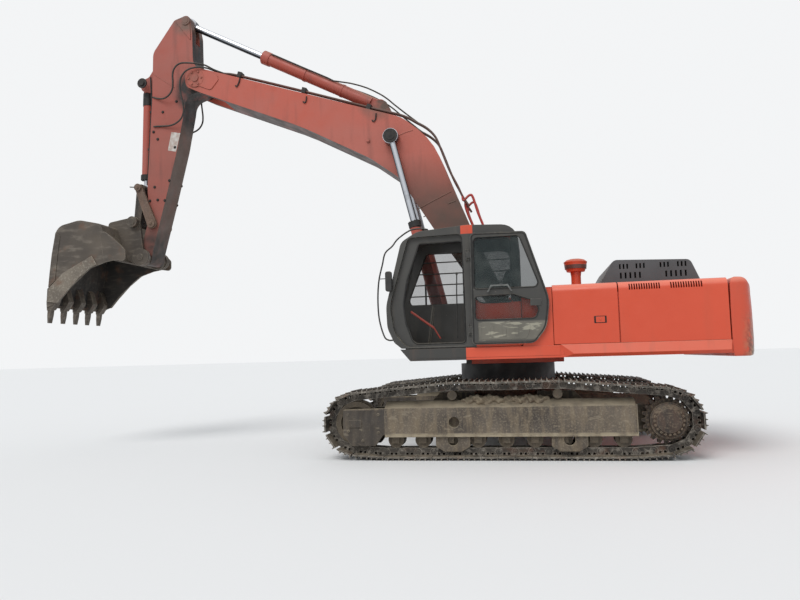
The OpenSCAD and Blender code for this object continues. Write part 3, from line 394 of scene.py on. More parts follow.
# Track frames: a box beam with a roof-shaped top and flanges along its lower edges, a fork of two
# plates round the idler, a plate for the final drive, guards under the chain and carrier brackets.
GAUGE_HALF = 1.295
BEAM_IN, BEAM_OUT = 1.095, 1.495
BEAM_X0, BEAM_X1 = -1.635, 1.608
BEAM_LOW, BEAM_SIDE_TOP, BEAM_TOP = 0.322, 0.680, 0.765
LIP_OUT, LIP_T = 0.016, 0.026
GUARDS_X = (0.698, -0.805)
ROLLER_Z = 0.250
YOKE_Y, YOKE_HALF, GUARD_HALF = 0.165, 0.025, 0.014
SIDES = ((1, "left"), (-1, "right"))
for side, where in SIDES:
    roof = np.array([(BEAM_OUT, BEAM_LOW), (BEAM_OUT, BEAM_SIDE_TOP), (1.355, BEAM_TOP), (1.235, BEAM_TOP),
                     (BEAM_IN, BEAM_SIDE_TOP), (BEAM_IN, BEAM_LOW), (1.140, BEAM_LOW), (1.140, 0.366), (1.450, 0.366),
                     (1.450, BEAM_LOW)])
    fork = rounded([(1608, 322, 0), (1640, 322, 0), (1745, 180, 30), (2080, 180, 40), (2193, 330, 40), (2193, 672, 30),
                    (1608, 680, 0)])
    motor = rounded([(-1635, 322, 0), (-1860, 300, 120), (-2240, 300, 170), (-2240, 660, 170), (-1860, 660, 120),
                     (-1635, 680, 0)])
    parts = [prism(motor, 1, BEAM_IN, BEAM_IN + 0.06),
             block((BEAM_X0, BEAM_IN - LIP_OUT, BEAM_LOW - LIP_T), (BEAM_X1, BEAM_IN + 0.04, BEAM_LOW + 0.001)),
             block((BEAM_X0, BEAM_OUT - 0.04, BEAM_LOW - LIP_T), (BEAM_X1, BEAM_OUT + LIP_OUT, BEAM_LOW + 0.001)),
             block((BEAM_X0 - 0.015, BEAM_IN + 0.059, BEAM_LOW - LIP_T), (BEAM_X0 + 0.001, BEAM_OUT + LIP_OUT, 0.690))]
    parts += [prism(fork, 1, y - YOKE_HALF, y + YOKE_HALF) for y in (GAUGE_HALF - YOKE_Y, GAUGE_HALF + YOKE_Y)]
    parts += [block((x - 0.07, 1.255, BEAM_TOP - 0.03), (x + 0.07, 1.335, 0.772)) for x in (0.700, -0.680)]
    beam = solid("beam_" + where, mirrored([prism(roof, 0, BEAM_X0, BEAM_X1)], side),
                 mirrored([round_bar((0.674, 0.486), 0.070, 1, BEAM_OUT - 0.1, BEAM_OUT + 0.01)], side), 0.006)
    fit(beam, frame_mud, "root", ["track_frame_" + where])
    fit(solid("frame_plates_" + where, mirrored(parts, side)), frame_mud, "root")
    guards = []
    for x in GUARDS_X:
        plate_line = rounded([(1000 * x - 228, 323, 0), (1000 * x - 228, 168, 30), (1000 * x - 115, 102, 40),
                              (1000 * x + 115, 102, 40), (1000 * x + 228, 168, 30), (1000 * x + 228, 323, 0)])
        guards += [prism(plate_line, 1, y - GUARD_HALF, y + GUARD_HALF)
                   for y in (GAUGE_HALF - YOKE_Y, GAUGE_HALF + YOKE_Y)]
    windows = [round_bar((x, ROLLER_Z), 0.070, 1, 1.0, 1.6) for x in GUARDS_X]
    fit(solid("chain_guards_" + where, mirrored(guards, side), mirrored(windows, side)), frame_mud, "root")

# Idlers, sprockets and rollers: forged and machined steel, darker than the frame because the chain
# wipes the mud off them. The final drive's round cover is rusty brown, and its bolts sit in two rings.
wheel_steel = caked("roller_steel", (102, 92, 78), (70, 63, 55), (104, 92, 76), (134, 122, 104), 0.7, 0.3, 0.3, 0.6)
wear(["rollers_left", "rollers_right", "idler_left", "idler_right"], wheel_steel)
drive_steel = caked("drive_rust", (64, 55, 48), (44, 39, 35), (88, 68, 55), (140, 124, 104), 0.75, 0.3, 0.1, 0.9)
wear(["sprocket_left", "sprocket_right"], drive_steel)


# Tracks: 48 cast links a side, each a shoe plate with three ribs, bolted to two bent link bars whose
# eyes are pressed on the pins. Stone scours them bright on the ribs and leaves rust and dust between.
def scoured(name, colour, dark, bright, along=(1, 1, 1), rough=0.5, metal=0.35):
    """Steel rubbed by stone: long scratches, rust, dark hollows, bright edges and dust on top."""
    f = Finish(name)
    base = f.mix(f.ramp(f.noise(2.2, 6), 0.38, 0.64), colour, dark)
    scratches = f.noise(16, 7, along)
    base = f.mix(f.ramp(scratches, 0.52, 0.70, 0.0, 0.6), base, bright)
    base = f.mix(f.ramp(f.noise(4.5, 7), 0.58, 0.70, 0.0, 0.55), base, (104, 74, 56))
    base = f.mix(f.times(f.edges(0.016), f.ramp(f.noise(9, 4), 0.35, 0.55, 0.3, 1.0)), base, bright)
    settled = f.times(f.facing(UP, 0.2, 0.75), f.ramp(f.noise(5, 5), 0.35, 0.6, 0.1, 0.8))
    return f.close(f.mix(settled, base, (150, 138, 120)), f.ramp(scratches, 0.3, 0.7, rough + 0.15, rough - 0.1),
                   [(scratches, 0.25, 0.006)], Metallic=metal)


track_steel = scoured("track_steel", (84, 78, 70), (50, 46, 42), (168, 160, 148), (1, 0.3, 1), 0.55, 0.25)
SHOES = 48
TUMBLER_X = 2.025
TUMBLER_Z = 0.480
CHAIN_R = 0.357
GROUND_X = 1.620
SHOE_TOP = 0.092
CARRIERS = ((0.700, 0.9542), (0.0, 0.9442), (-0.680, 0.9542))
SHOE_HALF = 0.299
STRAND_Y = 0.078
BAR_HALVES = (0.0220, 0.0235)
EYE_R, PIN_R, PIN_HALF = 0.046, 0.021, 0.104


def chain_pins():
    """Points a pitch apart along the chain: ground run, half circle round the idler, carriers, half circle back."""
    front = arc((TUMBLER_X, TUMBLER_Z), CHAIN_R, -90, 90, 46)
    rear = arc((-TUMBLER_X, TUMBLER_Z), CHAIN_R, 90, 270, 46)
    line = np.vstack([[(-GROUND_X, SHOE_TOP), (GROUND_X, SHOE_TOP)], front, CARRIERS, rear])
    line = np.vstack([line, line[:1]])
    run = np.concatenate([[0], np.cumsum(np.linalg.norm(np.diff(line, axis=0), axis=1))])
    at = run[-1] * np.arange(SHOES) / SHOES
    return np.column_stack([np.interp(at, run, line[:, 0]), np.interp(at, run, line[:, 1])])


def repeated(faces, size, count):
    """The faces of one shell for so many like shells one after another, each with a size in points."""
    return [[base + i for i in face] for base in range(0, size * count, size) for face in faces]


def prisms(profile, y0, y1, origin, ahead, out):
    """Prisms along Y, one for each link: the profile's first number runs ahead and its second one outwards."""
    flat = origin[:, None] + profile[None, :, :1] * ahead[:, None] + profile[None, :, 1:] * out[:, None]
    count, size = len(origin), len(profile)
    points = np.zeros((count, 2, size, 3))
    points[..., ::2] = flat[:, None]
    points[:, 0, :, 1], points[:, 1, :, 1] = y0, y1
    return points.reshape(-1, 3), repeated(ring_faces(2, size), 2 * size, count)


def track(side, where):
    """One track: shoes, two strands of bent link bars, every second bar a little wider, and the pins through them."""
    pins = chain_pins()
    ahead = np.roll(pins, -1, axis=0) - pins
    pitch = float(np.linalg.norm(ahead, axis=1).mean())
    unit_ahead = ahead / np.linalg.norm(ahead, axis=1)[:, None]
    out = np.column_stack([unit_ahead[:, 1], -unit_ahead[:, 0]])
    shoe = np.array([
        (0.010, 0.042), (0.010, 0.056), (0.024, 0.0915), (0.066, 0.0915), (0.096, 0.064), (0.370, 0.064),
        (0.398, 0.090), (0.430, 0.090), (0.458, 0.064), (0.702, 0.064), (0.730, 0.090), (0.762, 0.090), (0.790, 0.064),
        (0.985, 0.060), (0.985, 0.044)]) * (pitch, 1)
    bar = np.vstack([
        arc((0, 0), EYE_R, 120, 240, 7), [(0.012, -0.0515), (pitch - 0.012, -0.0515)],
        arc((pitch, 0), EYE_R, -60, 60, 7),
        [(0.78 * pitch, 0.044), (0.76 * pitch, 0.044), (0.75 * pitch, 0.012), (0.60 * pitch, 0.012),
         (0.59 * pitch, 0.044), (0.47 * pitch, 0.044), (0.46 * pitch, 0.012), (0.31 * pitch, 0.012),
         (0.30 * pitch, 0.044), (0.22 * pitch, 0.044)]])
    middle = side * GAUGE_HALF
    parts = [prisms(shoe, middle - SHOE_HALF, middle + SHOE_HALF, pins, unit_ahead, out)]
    for strand in (-1, 1):
        y = middle + strand * STRAND_Y
        for first, half in enumerate(BAR_HALVES):
            parts.append(prisms(bar, y - half, y + half, pins[first::2], unit_ahead[first::2], out[first::2]))
    pin = arc((0, 0), PIN_R, 0, 330, 12)
    parts.append(prisms(pin, middle - PIN_HALF, middle + PIN_HALF, pins, unit_ahead, out))
    made = mesh_object("chain_" + where, *joined(parts))
    face_outwards(made)
    fit(made, track_steel, "root", ["track_" + where])


for side, where in SIDES:
    track(side, where)


# Mud heaps: earth that the chains dropped on the beams' roofs between the carriers, where it dried. It is
# pale, loose and lumpy, and lies there by its weight.
def mud_heap(side, where):
    """A low ridge: rings whose size falls to both ends as a sine, times lumps made by crossed waves."""
    rings, sides = 90, 36
    along, turn_by = np.linspace(0, 1, rings)[:, None], np.linspace(0, 2 * math.pi, sides, endpoint=False)[None]
    lumps = (1 + 0.14 * np.sin(31 * along + 2 * turn_by) + 0.12 * np.sin(57 * along - 3 * turn_by + 1)
             + 0.10 * np.sin(97 * along + 4 * turn_by + 2 * np.sin(9 * along)))
    size = (0.15 + 0.85 * np.sin(math.pi * along) ** 0.35) * lumps * (0.82 + 0.18 * np.sin(9 * along))
    points = np.stack([0.600 - 1.190 * along + 0 * turn_by, side * (1.315 + 0.150 * size * np.cos(turn_by)),
                       0.745 + 0.092 * size * np.sin(turn_by)], axis=-1)
    heap = solid("mud_heap_" + where, [(points.reshape(-1, 3), ring_faces(rings, sides))], (), 0, 60)
    fit(heap, dry_mud, "root")


dry_mud = caked("dry_mud", (124, 110, 90), (96, 84, 70), MUD, DUST, 0.95, 0.8)
for side, where in SIDES:
    mud_heap(side, where)


# Bolts of the undercarriage: rings on the final drives' covers and flanges and on the idler guards.
# Each is a hexagon head on a washer, rusted and dusty like the drive.
def bolt_heads(places, axis, radius, height):
    """Hexagon heads on washers at many places: a prism of six sides on one of twelve, both along the axis."""
    places = np.atleast_2d(np.asarray(places, float))
    axis = np.asarray(axis, float) / np.linalg.norm(axis)
    side = np.cross(axis, (0, 0, 1) if abs(axis[2]) < 0.9 else (1, 0, 0))
    side /= np.linalg.norm(side)
    other = np.cross(axis, side)
    parts = []
    for count, size, low, high in ((12, 1.45 * radius, 0.0, 0.25 * height), (6, radius, 0.2 * height, height)):
        angle = np.arange(count) * 2 * math.pi / count
        ring = size * (np.cos(angle)[:, None] * side + np.sin(angle)[:, None] * other)
        points = places[:, None, None, :] + np.stack([ring + low * axis, ring + high * axis])[None]
        parts.append((points.reshape(-1, 3), repeated(ring_faces(2, count), 2 * count, len(places))))
    return joined(parts)


def at_y(line, y):
    """Points of the XZ plane as points in space at one y."""
    line = np.asarray(line, float)
    return np.column_stack([line[:, 0], np.full(len(line), y), line[:, 1]])


def ring_places(centre, radius, count, y, start=0.0):
    """Places on a circle in the XZ plane at one y."""
    return at_y(arc(centre, radius, start, start + 360, count + 1)[:-1], y)


drive_bolts = []
drive = (-TUMBLER_X, TUMBLER_Z)
for side in (1, -1):
    for radius, count, out, size, height in ((0.244, 26, 0.062, 0.011, 0.014), (0.172, 20, 0.172, 0.013, 0.022)):
        places = ring_places(drive, radius, count, side * (GAUGE_HALF + out))
        drive_bolts.append(bolt_heads(places, (0, side, 0), size, height))
made = mesh_object("drive_bolts", *joined(drive_bolts))
face_outwards(made)
fit(made, drive_steel, "root")

# Idler guards: five bolts in the outside plate of each fork, and a keeper plate of the same steel over
# the idler's shaft, bolted on under the mud.
KEEPER_T = 0.014
for side, where in SIDES:
    face = side * (GAUGE_HALF + YOKE_Y + YOKE_HALF)
    spots = [(1.70, 0.60), (1.70, 0.36), (2.12, 0.60), (2.12, 0.38), (1.92, 0.25)]
    heads = bolt_heads(at_y(spots, face), (0, side, 0), 0.014, 0.016)
    keeper = prism(rounded([(1935, 430, 20), (2115, 430, 20), (2115, 530, 20), (1935, 530, 20)]), 1, face,
                   face + side * KEEPER_T)
    fit(solid("idler_keeper_" + where, [heads, keeper], (), 0.002), frame_mud, "root")


# Slew bearing: two machined rings with a toothed race between them, bolted to the lower frame and to
# the revolving frame, and black with grease and dust.
def plain(name, colour, other, rough, metal=0.0, scale=20.0, bump=0.05, dust=0.0):
    """A smooth piece such as rubber, plastic or bright steel: mottling, grain and a film of dust on top."""
    f = Finish(name)
    mottle = f.noise(scale, 5)
    base = f.mix(f.ramp(mottle, 0.35, 0.65), colour, other)
    if dust:
        film = f.times(f.facing(UP, 0.1, 0.8), f.ramp(f.noise(4, 6), 0.3, 0.7, 0.3 * dust, dust))
        base = f.mix(film, base, DUST)
    sheen = f.ramp(f.noise(scale * 0.6, 4), 0.3, 0.7, rough * 0.8, min(1.0, rough * 1.25))
    return f.close(base, sheen, [(mottle, bump, 0.004)], Metallic=metal)


greased = plain("bearing_grease", (44, 42, 40), (27, 26, 25), 0.5, 0.3, 8.0, 0.2, 0.4)
wear(["slew_bearing"], greased)


# Revolving frame: welded girders and edge members in sprayed paint, dark grey under the cab and
# orange under the covers, with a folded ledge along each side that the doors close on.
def painted(name, colour, faded, grime, zones=None, dusty=0.5, streaks=0.3, chips=0.4, rough=0.42, patchy=1.0,
            bare=(96, 78, 66)):
    """Sprayed paint on plate: it fades in patches, grime runs down in streaks, dust lies on top, edges chip."""
    f = Finish(name)
    base = f.mix(f.ramp(f.noise(0.55, 3), 0.40, 0.66, 0.0, patchy), colour, faded)
    base = f.mix(f.ramp(f.noise(9, 5), 0.35, 0.75, 0.0, 0.30 * patchy), base, faded)
    if zones:
        base = zones(f, base)
    base = f.mix(f.ramp(f.noise(1.6, 6, (4.5, 4.5, 0.5)), 0.56, 0.78, 0.0, streaks), base, grime)
    settled = f.times(f.facing(UP, 0.2, 0.75), f.ramp(f.noise(3.5, 6), 0.32, 0.68, 0.25 * dusty, dusty))
    base = f.mix(settled, base, DUST)
    base = f.mix(f.times(f.edges(0.010), f.ramp(f.noise(14, 5), 0.45, 0.60, 0.0, chips)), base, bare)
    base = f.mix(f.ramp(f.noise(38, 3), 0.73, 0.76, 0.0, chips), base, bare)
    sheen = f.ramp(f.noise(5, 4), 0.3, 0.7, rough - 0.08, rough + 0.14)
    return f.close(base, f.both("ADD", sheen, f.times(settled, 0.3)),
                   [(f.noise(1.3, 2), 0.10, 0.05), (f.noise(60, 3), 0.06, 0.004)])


ORANGE, ORANGE_FADED, GRIME = (202, 74, 45), (210, 84, 56), (112, 84, 68)
GREY, GREY_FADED = (58, 57, 54), (72, 70, 66)


def grey_under_cab_and_top_highlight(f, base):
    """Dark grey for the part that carries the cab, ahead of x = 0.48, and a light orange painted highlight where it
    looks up.
    """
    base = f.mix(f.facing(UP, 0.15, 0.6), base, (226, 122, 98))
    return f.mix(f.along("X", 0.478, 0.482), base, GREY)


frame_paint = painted("frame_paint", ORANGE, ORANGE_FADED, GRIME, grey_under_cab_and_top_highlight, 0.5, 0.3, 0.5, 0.45)
wear(["revolving_frame"], frame_paint)

HALF_W = 1.495
DECK, FRAME_LOW = 1.465, 1.305
for side, where in SIDES:
    y = HALF_W + 0.0005
    ends = []
    for x, tip, low_x in ((-0.745, -0.905, -0.800), (-2.812, -2.790, -2.814)):
        ends += [(x, y, DECK + 0.006), (x, y + 0.010, DECK + 0.006), (tip, y + 0.046, DECK - 0.118),
                 (low_x, y, FRAME_LOW + 0.004)]
    ledge = (np.array(ends), [(0, 1, 2, 3), (7, 6, 5, 4), (0, 4, 5, 1), (1, 5, 6, 2), (2, 6, 7, 3), (3, 7, 4, 0)])
    fit(solid("side_ledge_" + where, mirrored([ledge], side), (), 0.004), frame_paint, "upper")
skirt = [prism(np.array([(HALF_W + 0.0005, FRAME_LOW + 0.032), (HALF_W + 0.006, FRAME_LOW + 0.03),
                         (HALF_W + 0.006, DECK - 0.004), (HALF_W + 0.0005, DECK - 0.004)]), 0, -0.74, 1.24)]
fit(solid("frame_skirt", both_sides(skirt), (), 0.002), frame_paint, "upper")

# Cab shell: pressed steel in dark grey, its pillar behind the door and the roof's rear edge in the
# covers' orange. The door and the windows are cut in it, and the shell stands on a plinth.
CAB_IN, CAB_Z0 = 0.490, 1.477
cab_line = rounded([(-262, 1477, 0), (-262, 3080, 230), (420, 3112, 0), (1090, 3062, 300), (1320, 2930, 160),
                    (1550, 2060, 500), (1540, 1760, 300), (1450, 1560, 100), (1350, 1477, 0)])
door_line = rounded([(472, 1500, 50), (488, 2990, 70), (1215, 2972, 70), (1492, 2060, 500), (1440, 1700, 300),
                     (1280, 1500, 130)])
way_in = rounded([(484, 1532, 50), (486, 2908, 40), (1080, 2902, 50), (1262, 2400, 800), (1320, 2080, 400),
                  (1292, 1820, 400), (1190, 1532, 110)])
rear_window = rounded([(-160, 2050, 60), (-160, 2910, 90), (340, 2920, 60), (340, 2050, 130)])
right_window = rounded([(-120, 2120, 60), (-120, 2880, 120), (1120, 2890, 60), (1400, 2200, 100), (1380, 2120, 50)])
SCREEN_Y, REAR_Y, HATCH_Y = (0.560, 1.385), (0.580, 1.365), (0.640, 1.305)


def orange_pillar(f, base):
    """The covers' orange on the outside behind the door, and on the roof's side edge over it."""
    outside = f.along("Y", 1.400, 1.404)
    panel = f.times(f.times(f.along("X", 0.340, 0.336), outside), f.along("Z", 2.985, 2.975))
    grey_back = f.times(f.along("X", -0.158, -0.162), f.along("Z", 2.048, 2.052))
    panel = f.times(panel, f.both("SUBTRACT", 1.0, grey_back))
    patch = f.times(f.times(f.along("X", 0.338, 0.342), f.along("X", 0.502, 0.498)), f.along("Z", 2.990, 2.994))
    return f.mix(f.both("MAXIMUM", panel, f.times(patch, outside)), base, ORANGE)


cab_paint = painted("cab_paint", GREY, GREY_FADED, (96, 88, 76), orange_pillar, 0.55, 0.4, 0.75, 0.45, 1.0,
                    (124, 119, 108))
WALL, POST, DOOR_GAP = 0.045, 0.130, 0.008
holes = [prism(inset(cab_line, WALL), 1, CAB_IN + WALL, HALF_W - 0.085),
         prism(inset(door_line, -DOOR_GAP), 1, HALF_W - 0.056, HALF_W + 0.01),
         prism(way_in, 1, HALF_W - POST, HALF_W), prism(rear_window, 1, HALF_W - POST, HALF_W + 0.01),
         prism(right_window, 1, CAB_IN - 0.01, CAB_IN + 0.09)]
holes += [block((1.18, SCREEN_Y[0], 2.08), (1.70, SCREEN_Y[1], 2.89)),
          block((1.44, SCREEN_Y[0], 1.68), (1.70, SCREEN_Y[1], 2.03)),
          block((-0.30, REAR_Y[0], 2.15), (-0.20, REAR_Y[1], 2.88)),
          block((0.30, HATCH_Y[0], 3.00), (0.90, HATCH_Y[1], 3.20))]
shell = solid("cab_body", [prism(cab_line, 1, CAB_IN, HALF_W)], holes, 0.010)
fit(shell, cab_paint, "upper", ["cab_shell"])
plinth = [block((-0.24, CAB_IN + 0.025, DECK + 0.0005), (1.30, HALF_W - 0.025, CAB_Z0 + 0.001))]
HINGE_X, HINGE_Y = 0.430, HALF_W + 0.015
HINGES_Z, LUG_Z, LUG_HALF, KNUCKLE_R = (1.70, 2.70), 0.0563, 0.016, 0.014
for z in HINGES_Z:
    for lug in (z - LUG_Z, z + LUG_Z):
        plinth.append(round_bar((HINGE_X, HINGE_Y), KNUCKLE_R, 2, lug - LUG_HALF, lug + LUG_HALF, 20))
        plinth.append(block((HINGE_X - 0.04, HALF_W - 0.001, lug - LUG_HALF), (HINGE_X, HINGE_Y, lug + LUG_HALF)))
fit(solid("cab_plinth_and_lugs", plinth, (), 0.002), cab_paint, "upper")

# Cab's rubber: a black seal of extruded rubber round the way in and round each side window, pressed on
# the edge of the sheet.
rubber = plain("rubber", (30, 30, 29), (42, 41, 39), 0.7, 0.0, 40.0, 0.15, 0.3)


def tube(path, radius, sides=12, closed=False):
    """A round tube along points in space: each ring stands square to the path, set out from one steady direction."""
    path = np.asarray(path, float)
    if closed:
        on = np.roll(path, -1, axis=0) - np.roll(path, 1, axis=0)
    else:
        on = np.gradient(path, axis=0)
    on /= np.linalg.norm(on, axis=1, keepdims=True)
    steady = np.array((0.0, 1.0, 0.0)) if np.abs(on[:, 1]).max() < 0.9 else np.array((0.31, 0.27, 0.91))
    across = np.cross(on, steady)
    across /= np.linalg.norm(across, axis=1, keepdims=True)
    up = np.cross(across, on)
    angle = np.arange(sides) * 2 * math.pi / sides
    ring = radius * (np.cos(angle)[:, None] * across[:, None, :] + np.sin(angle)[:, None] * up[:, None, :])
    points = path[:, None, :] + ring
    return points.reshape(-1, 3), ring_faces(len(path), sides, closed)


def eased(points, count):
    """A smooth path through points (Catmull-Rom): cubics whose slopes are half the neighbours' difference."""
    points = np.asarray(points, float)
    slope = np.gradient(points, axis=0)
    at = np.linspace(0, len(points) - 1, count)
    first = np.minimum(at.astype(int), len(points) - 2)
    t = (at - first)[:, None]
    a, b, m, n = points[first], points[first + 1], slope[first], slope[first + 1]
    return ((2 * t ** 3 - 3 * t ** 2 + 1) * a + (t ** 3 - 2 * t ** 2 + t) * m
            + (3 * t ** 2 - 2 * t ** 3) * b + (t ** 3 - t ** 2) * n)


seals = [tube(at_y(way_in, HALF_W - 0.062), 0.013, 8, True), tube(at_y(rear_window, HALF_W + 0.001), 0.009, 8, True),
         tube(at_y(right_window, CAB_IN - 0.001), 0.009, 8, True)]
fit(solid("cab_seals", seals, (), 0), rubber, "upper")


# Cab glass: flat tinted panes in the side windows, the rear and the roof, and a bent windscreen in two
# parts, each held in its rubber.
def tinted(name, colour, alpha):
    """Tinted pane: a dark see-through sheet with a clear gloss and dust in patches."""
    f = Finish(name)
    film = f.ramp(f.noise(3, 2), 0.40, 0.75, 0.0, 0.5)
    return f.close(f.mix(film, colour, (96, 102, 98)), 0.05,
                   Alpha=f.ramp(f.noise(3, 2), 0.35, 0.75, alpha, alpha + 0.06))


glass = tinted("tinted_glass", (34, 44, 44), 0.30)
door_glass = tinted("door_glass", (36, 46, 46), 0.52)


def pane_strip(line, low, high, x_from, y0, y1):
    """A bent pane: the part of an outline ahead of one x between two heights, 5 mm thick, pushed along Y."""
    run = np.concatenate([[0], np.cumsum(np.linalg.norm(np.diff(line, axis=0), axis=1))])
    at = np.linspace(0, run[-1], 900)
    fine = np.column_stack([np.interp(at, run, line[:, 0]), np.interp(at, run, line[:, 1])])
    inside = fine[(fine[:, 0] > x_from) & (fine[:, 1] > low) & (fine[:, 1] < high)][::6]
    inside = inside[np.argsort(inside[:, 1])]
    return prism(np.vstack([inside, inside[::-1] - (0.005, 0)]), 1, y0, y1)


skin = inset(cab_line, 0.014)
panes = [prism(rear_window, 1, HALF_W - 0.070, HALF_W - 0.064), prism(right_window, 1, CAB_IN + 0.015, CAB_IN + 0.021),
         pane_strip(skin, 2.08, 2.89, 1.18, *SCREEN_Y), pane_strip(skin, 1.68, 2.03, 1.40, *SCREEN_Y),
         block((-0.250, REAR_Y[0], 2.15), (-0.245, REAR_Y[1], 2.88)),
         block((0.30, HATCH_Y[0], 3.085), (0.90, HATCH_Y[1], 3.09))]
fit(solid("cab_panes", panes, (), 0), glass, "upper", ["cab_glass"])

# Cab door: a pressed steel frame with two panes and a lower panel, swung right round on its hinges and
# hooked back against the covers. Its lower panel is ribbed, its creases are pale painted highlights, and a handle of
# flat bar crosses it.
upper_pane = rounded([(519, 2230, 50), (529, 2922, 60), (1130, 2922, 70), (1375, 2230, 60)])
lower_pane = rounded([(520, 1822, 50), (529, 2138, 40), (1030, 2148, 150), (1300, 2050, 120), (1350, 1940, 80),
                      (1310, 1822, 70)])


def swung(parts):
    """Shells of the shut door turned half round about the hinge line."""
    return [(np.column_stack([2 * HINGE_X - p[:, 0], 2 * HINGE_Y - p[:, 1], p[:, 2]]), faces) for p, faces in parts]


def panel_wear_and_highlights(f, base):
    """Scuffed pale paint on the panel under the lower pane, and its creases as pale painted highlights."""
    inside = f.times(f.along("X", 0.31, 0.29), f.times(f.along("Z", 1.54, 1.56), f.along("Z", 1.80, 1.78)))
    base = f.mix(f.times(inside, f.ramp(f.noise(3.0, 5), 0.25, 0.6, 0.6, 0.95)), base, (108, 104, 93))
    crease_highlights = f.ramp(f.noise(5, 4, (0.8, 1, 3.5)), 0.56, 0.60, 0.0, 0.9)
    return f.mix(f.times(inside, crease_highlights), base, (150, 146, 130))


door_paint = painted("door_paint", GREY, GREY_FADED, (96, 88, 76), panel_wear_and_highlights, 0.55, 0.4, 0.95, 0.42, 1.0,
                     (130, 126, 116))
DOOR_IN = HALF_W - 0.035
door_parts = swung([prism(door_line, 1, DOOR_IN, HALF_W)])
door_holes = swung([prism(line, 1, DOOR_IN - 0.005, HALF_W + 0.01) for line in (upper_pane, lower_pane)])
fit(solid("door_frame", door_parts, door_holes, 0.008), door_paint, "cab_door", ["cab_door"])
leaves = []
for z in HINGES_Z:
    leaves += [block((HINGE_X, HALF_W + 0.004, z - 0.04), (0.540, HALF_W + 0.012, z + 0.04)),
               block((0.500, HALF_W - 0.001, z - 0.04), (0.540, HALF_W + 0.005, z + 0.04)),
               round_bar((HINGE_X, HINGE_Y), KNUCKLE_R, 2, z - 0.04, z + 0.04, 20)]
band = np.array([(690, 2185), (742, 2275), (968, 2275), (1020, 2185), (998, 2185), (957, 2255), (753, 2255),
                 (712, 2185)]) / 1000
handle = [prism(band, 1, HALF_W - 0.090, HALF_W - 0.072)]
handle += [round_bar((x, 2.200), 0.009, 1, HALF_W - 0.075, HALF_W - 0.034, 14) for x in (0.710, 1.000)]
handle_grey = plain("handle_grey", (118, 120, 117), (88, 88, 85), 0.45, 0.4, 16.0, 0.1, 0.3)
fit(solid("door_handle", swung(handle), (), 0.002), handle_grey, "cab_door")
pocket = rounded([(560, 1560, 40), (560, 1780, 40), (1260, 1780, 60), (1180, 1560, 60)])
leaves.append(prism(pocket, 1, HALF_W - 0.041, HALF_W - 0.0345))
leaves += [block((0.56 + i * 0.16, HALF_W - 0.047, 1.60), (0.60 + i * 0.16, HALF_W - 0.040, 1.74)) for i in range(4)]
leaves.append(block((1.245, HALF_W - 0.046, 1.985), (1.385, HALF_W - 0.034, 2.075)))
fit(solid("door_fittings", swung(leaves), (), 0.003), door_paint, "cab_door")
door_seals = [tube(at_y(line, HALF_W - 0.036), 0.009, 8, True)
              for line in (upper_pane, lower_pane, inset(door_line, 0.02))]
fit(solid("door_seals", swung(door_seals), (), 0), rubber, "cab_door")
for name, line, tint, stands_for in (("upper", upper_pane, door_glass, ["cab_door_glass"]),
                                     ("lower", lower_pane, glass, ())):
    pane = swung([prism(line, 1, HALF_W - 0.020, HALF_W - 0.014)])
    fit(solid("door_pane_" + name, pane, (), 0), tint, "cab_door", stands_for)

# Guard bars: four round bars across the outside of the right window, and a hoop of bent tube in front
# of the cab from the roof's edge to the lower corner, with the mirror on its side.
dark_tube = plain("dark_tube", (44, 44, 43), (60, 58, 55), 0.5, 0.2, 12.0, 0.1, 0.4)
bars = [tube([(-0.14, CAB_IN + 0.034, z), (1.40 - (z - 2.25) * 0.4, CAB_IN + 0.034, z)], 0.009, 10)
        for z in (2.250, 2.415, 2.580, 2.750)]
hoop = np.array([(1000, 3070), (1010, 3108), (1189, 3099), (1368, 2991), (1455, 2890), (1556, 2800), (1600, 2643),
                 (1655, 2421), (1676, 2158), (1662, 1881), (1600, 1655), (1540, 1600), (1472, 1597)]) / 1000
hoop_path = eased(at_y(hoop, 1.425), 70)
bars.append(tube(hoop_path, 0.011))
bars.append(block((1.47, 1.416, 2.440), (1.65, 1.434, 2.450)))
bars.append(block((1.48, 1.416, 2.440), (1.50, 1.510, 2.450)))
fit(solid("cab_bars", bars, (), 0), dark_tube, "upper")
mirror_case = prism(rounded([(1450, 2255, 30), (1450, 2530, 30), (1540, 2530, 30), (1540, 2255, 30)]), 1, 1.505, 1.565)
fit(solid("mirror_case", [mirror_case], (), 0.012), dark_tube, "upper")
wear(["handrails"], dark_tube)

# Lever and strut in the way in: a thin upright safety lever of steel tube with a round knob beside the
# seat, and a red steel strut, thinner at its lower end, from the front post down to the floor. Both bolted.
strut_path = at_y([(1.241, 1.983), (1.083, 1.865), (0.927, 1.750), (0.840, 1.600)], 1.300)
strut = [tube(strut_path[:3], 0.016), tube(strut_path[1:], 0.010)]
strut_red = plain("strut_red", (150, 48, 34), (120, 44, 34), 0.4, 0.0, 14.0, 0.05, 0.2)
fit(solid("sill_strut", strut, (), 0), strut_red, "upper")
lever = [tube(at_y([(0.597, 2.474), (0.606, 2.23), (0.614, 1.60)], 1.24), 0.008, 10),
         round_bar((1.24, 2.49), 0.018, 0, 0.585, 0.610, 16)]
fit(solid("safety_lever", lever, (), 0), dark_tube, "upper")

# Seat: a foam cushion and a back in ribbed cloth, on a steel base in plastic covers that is bolted to
# the floor. Each pad is a crowned closed form with sewn channels.
woven = plain("seat_cloth", (52, 52, 54), (34, 34, 36), 0.9, 0.0, 260.0, 0.5, 0.3)


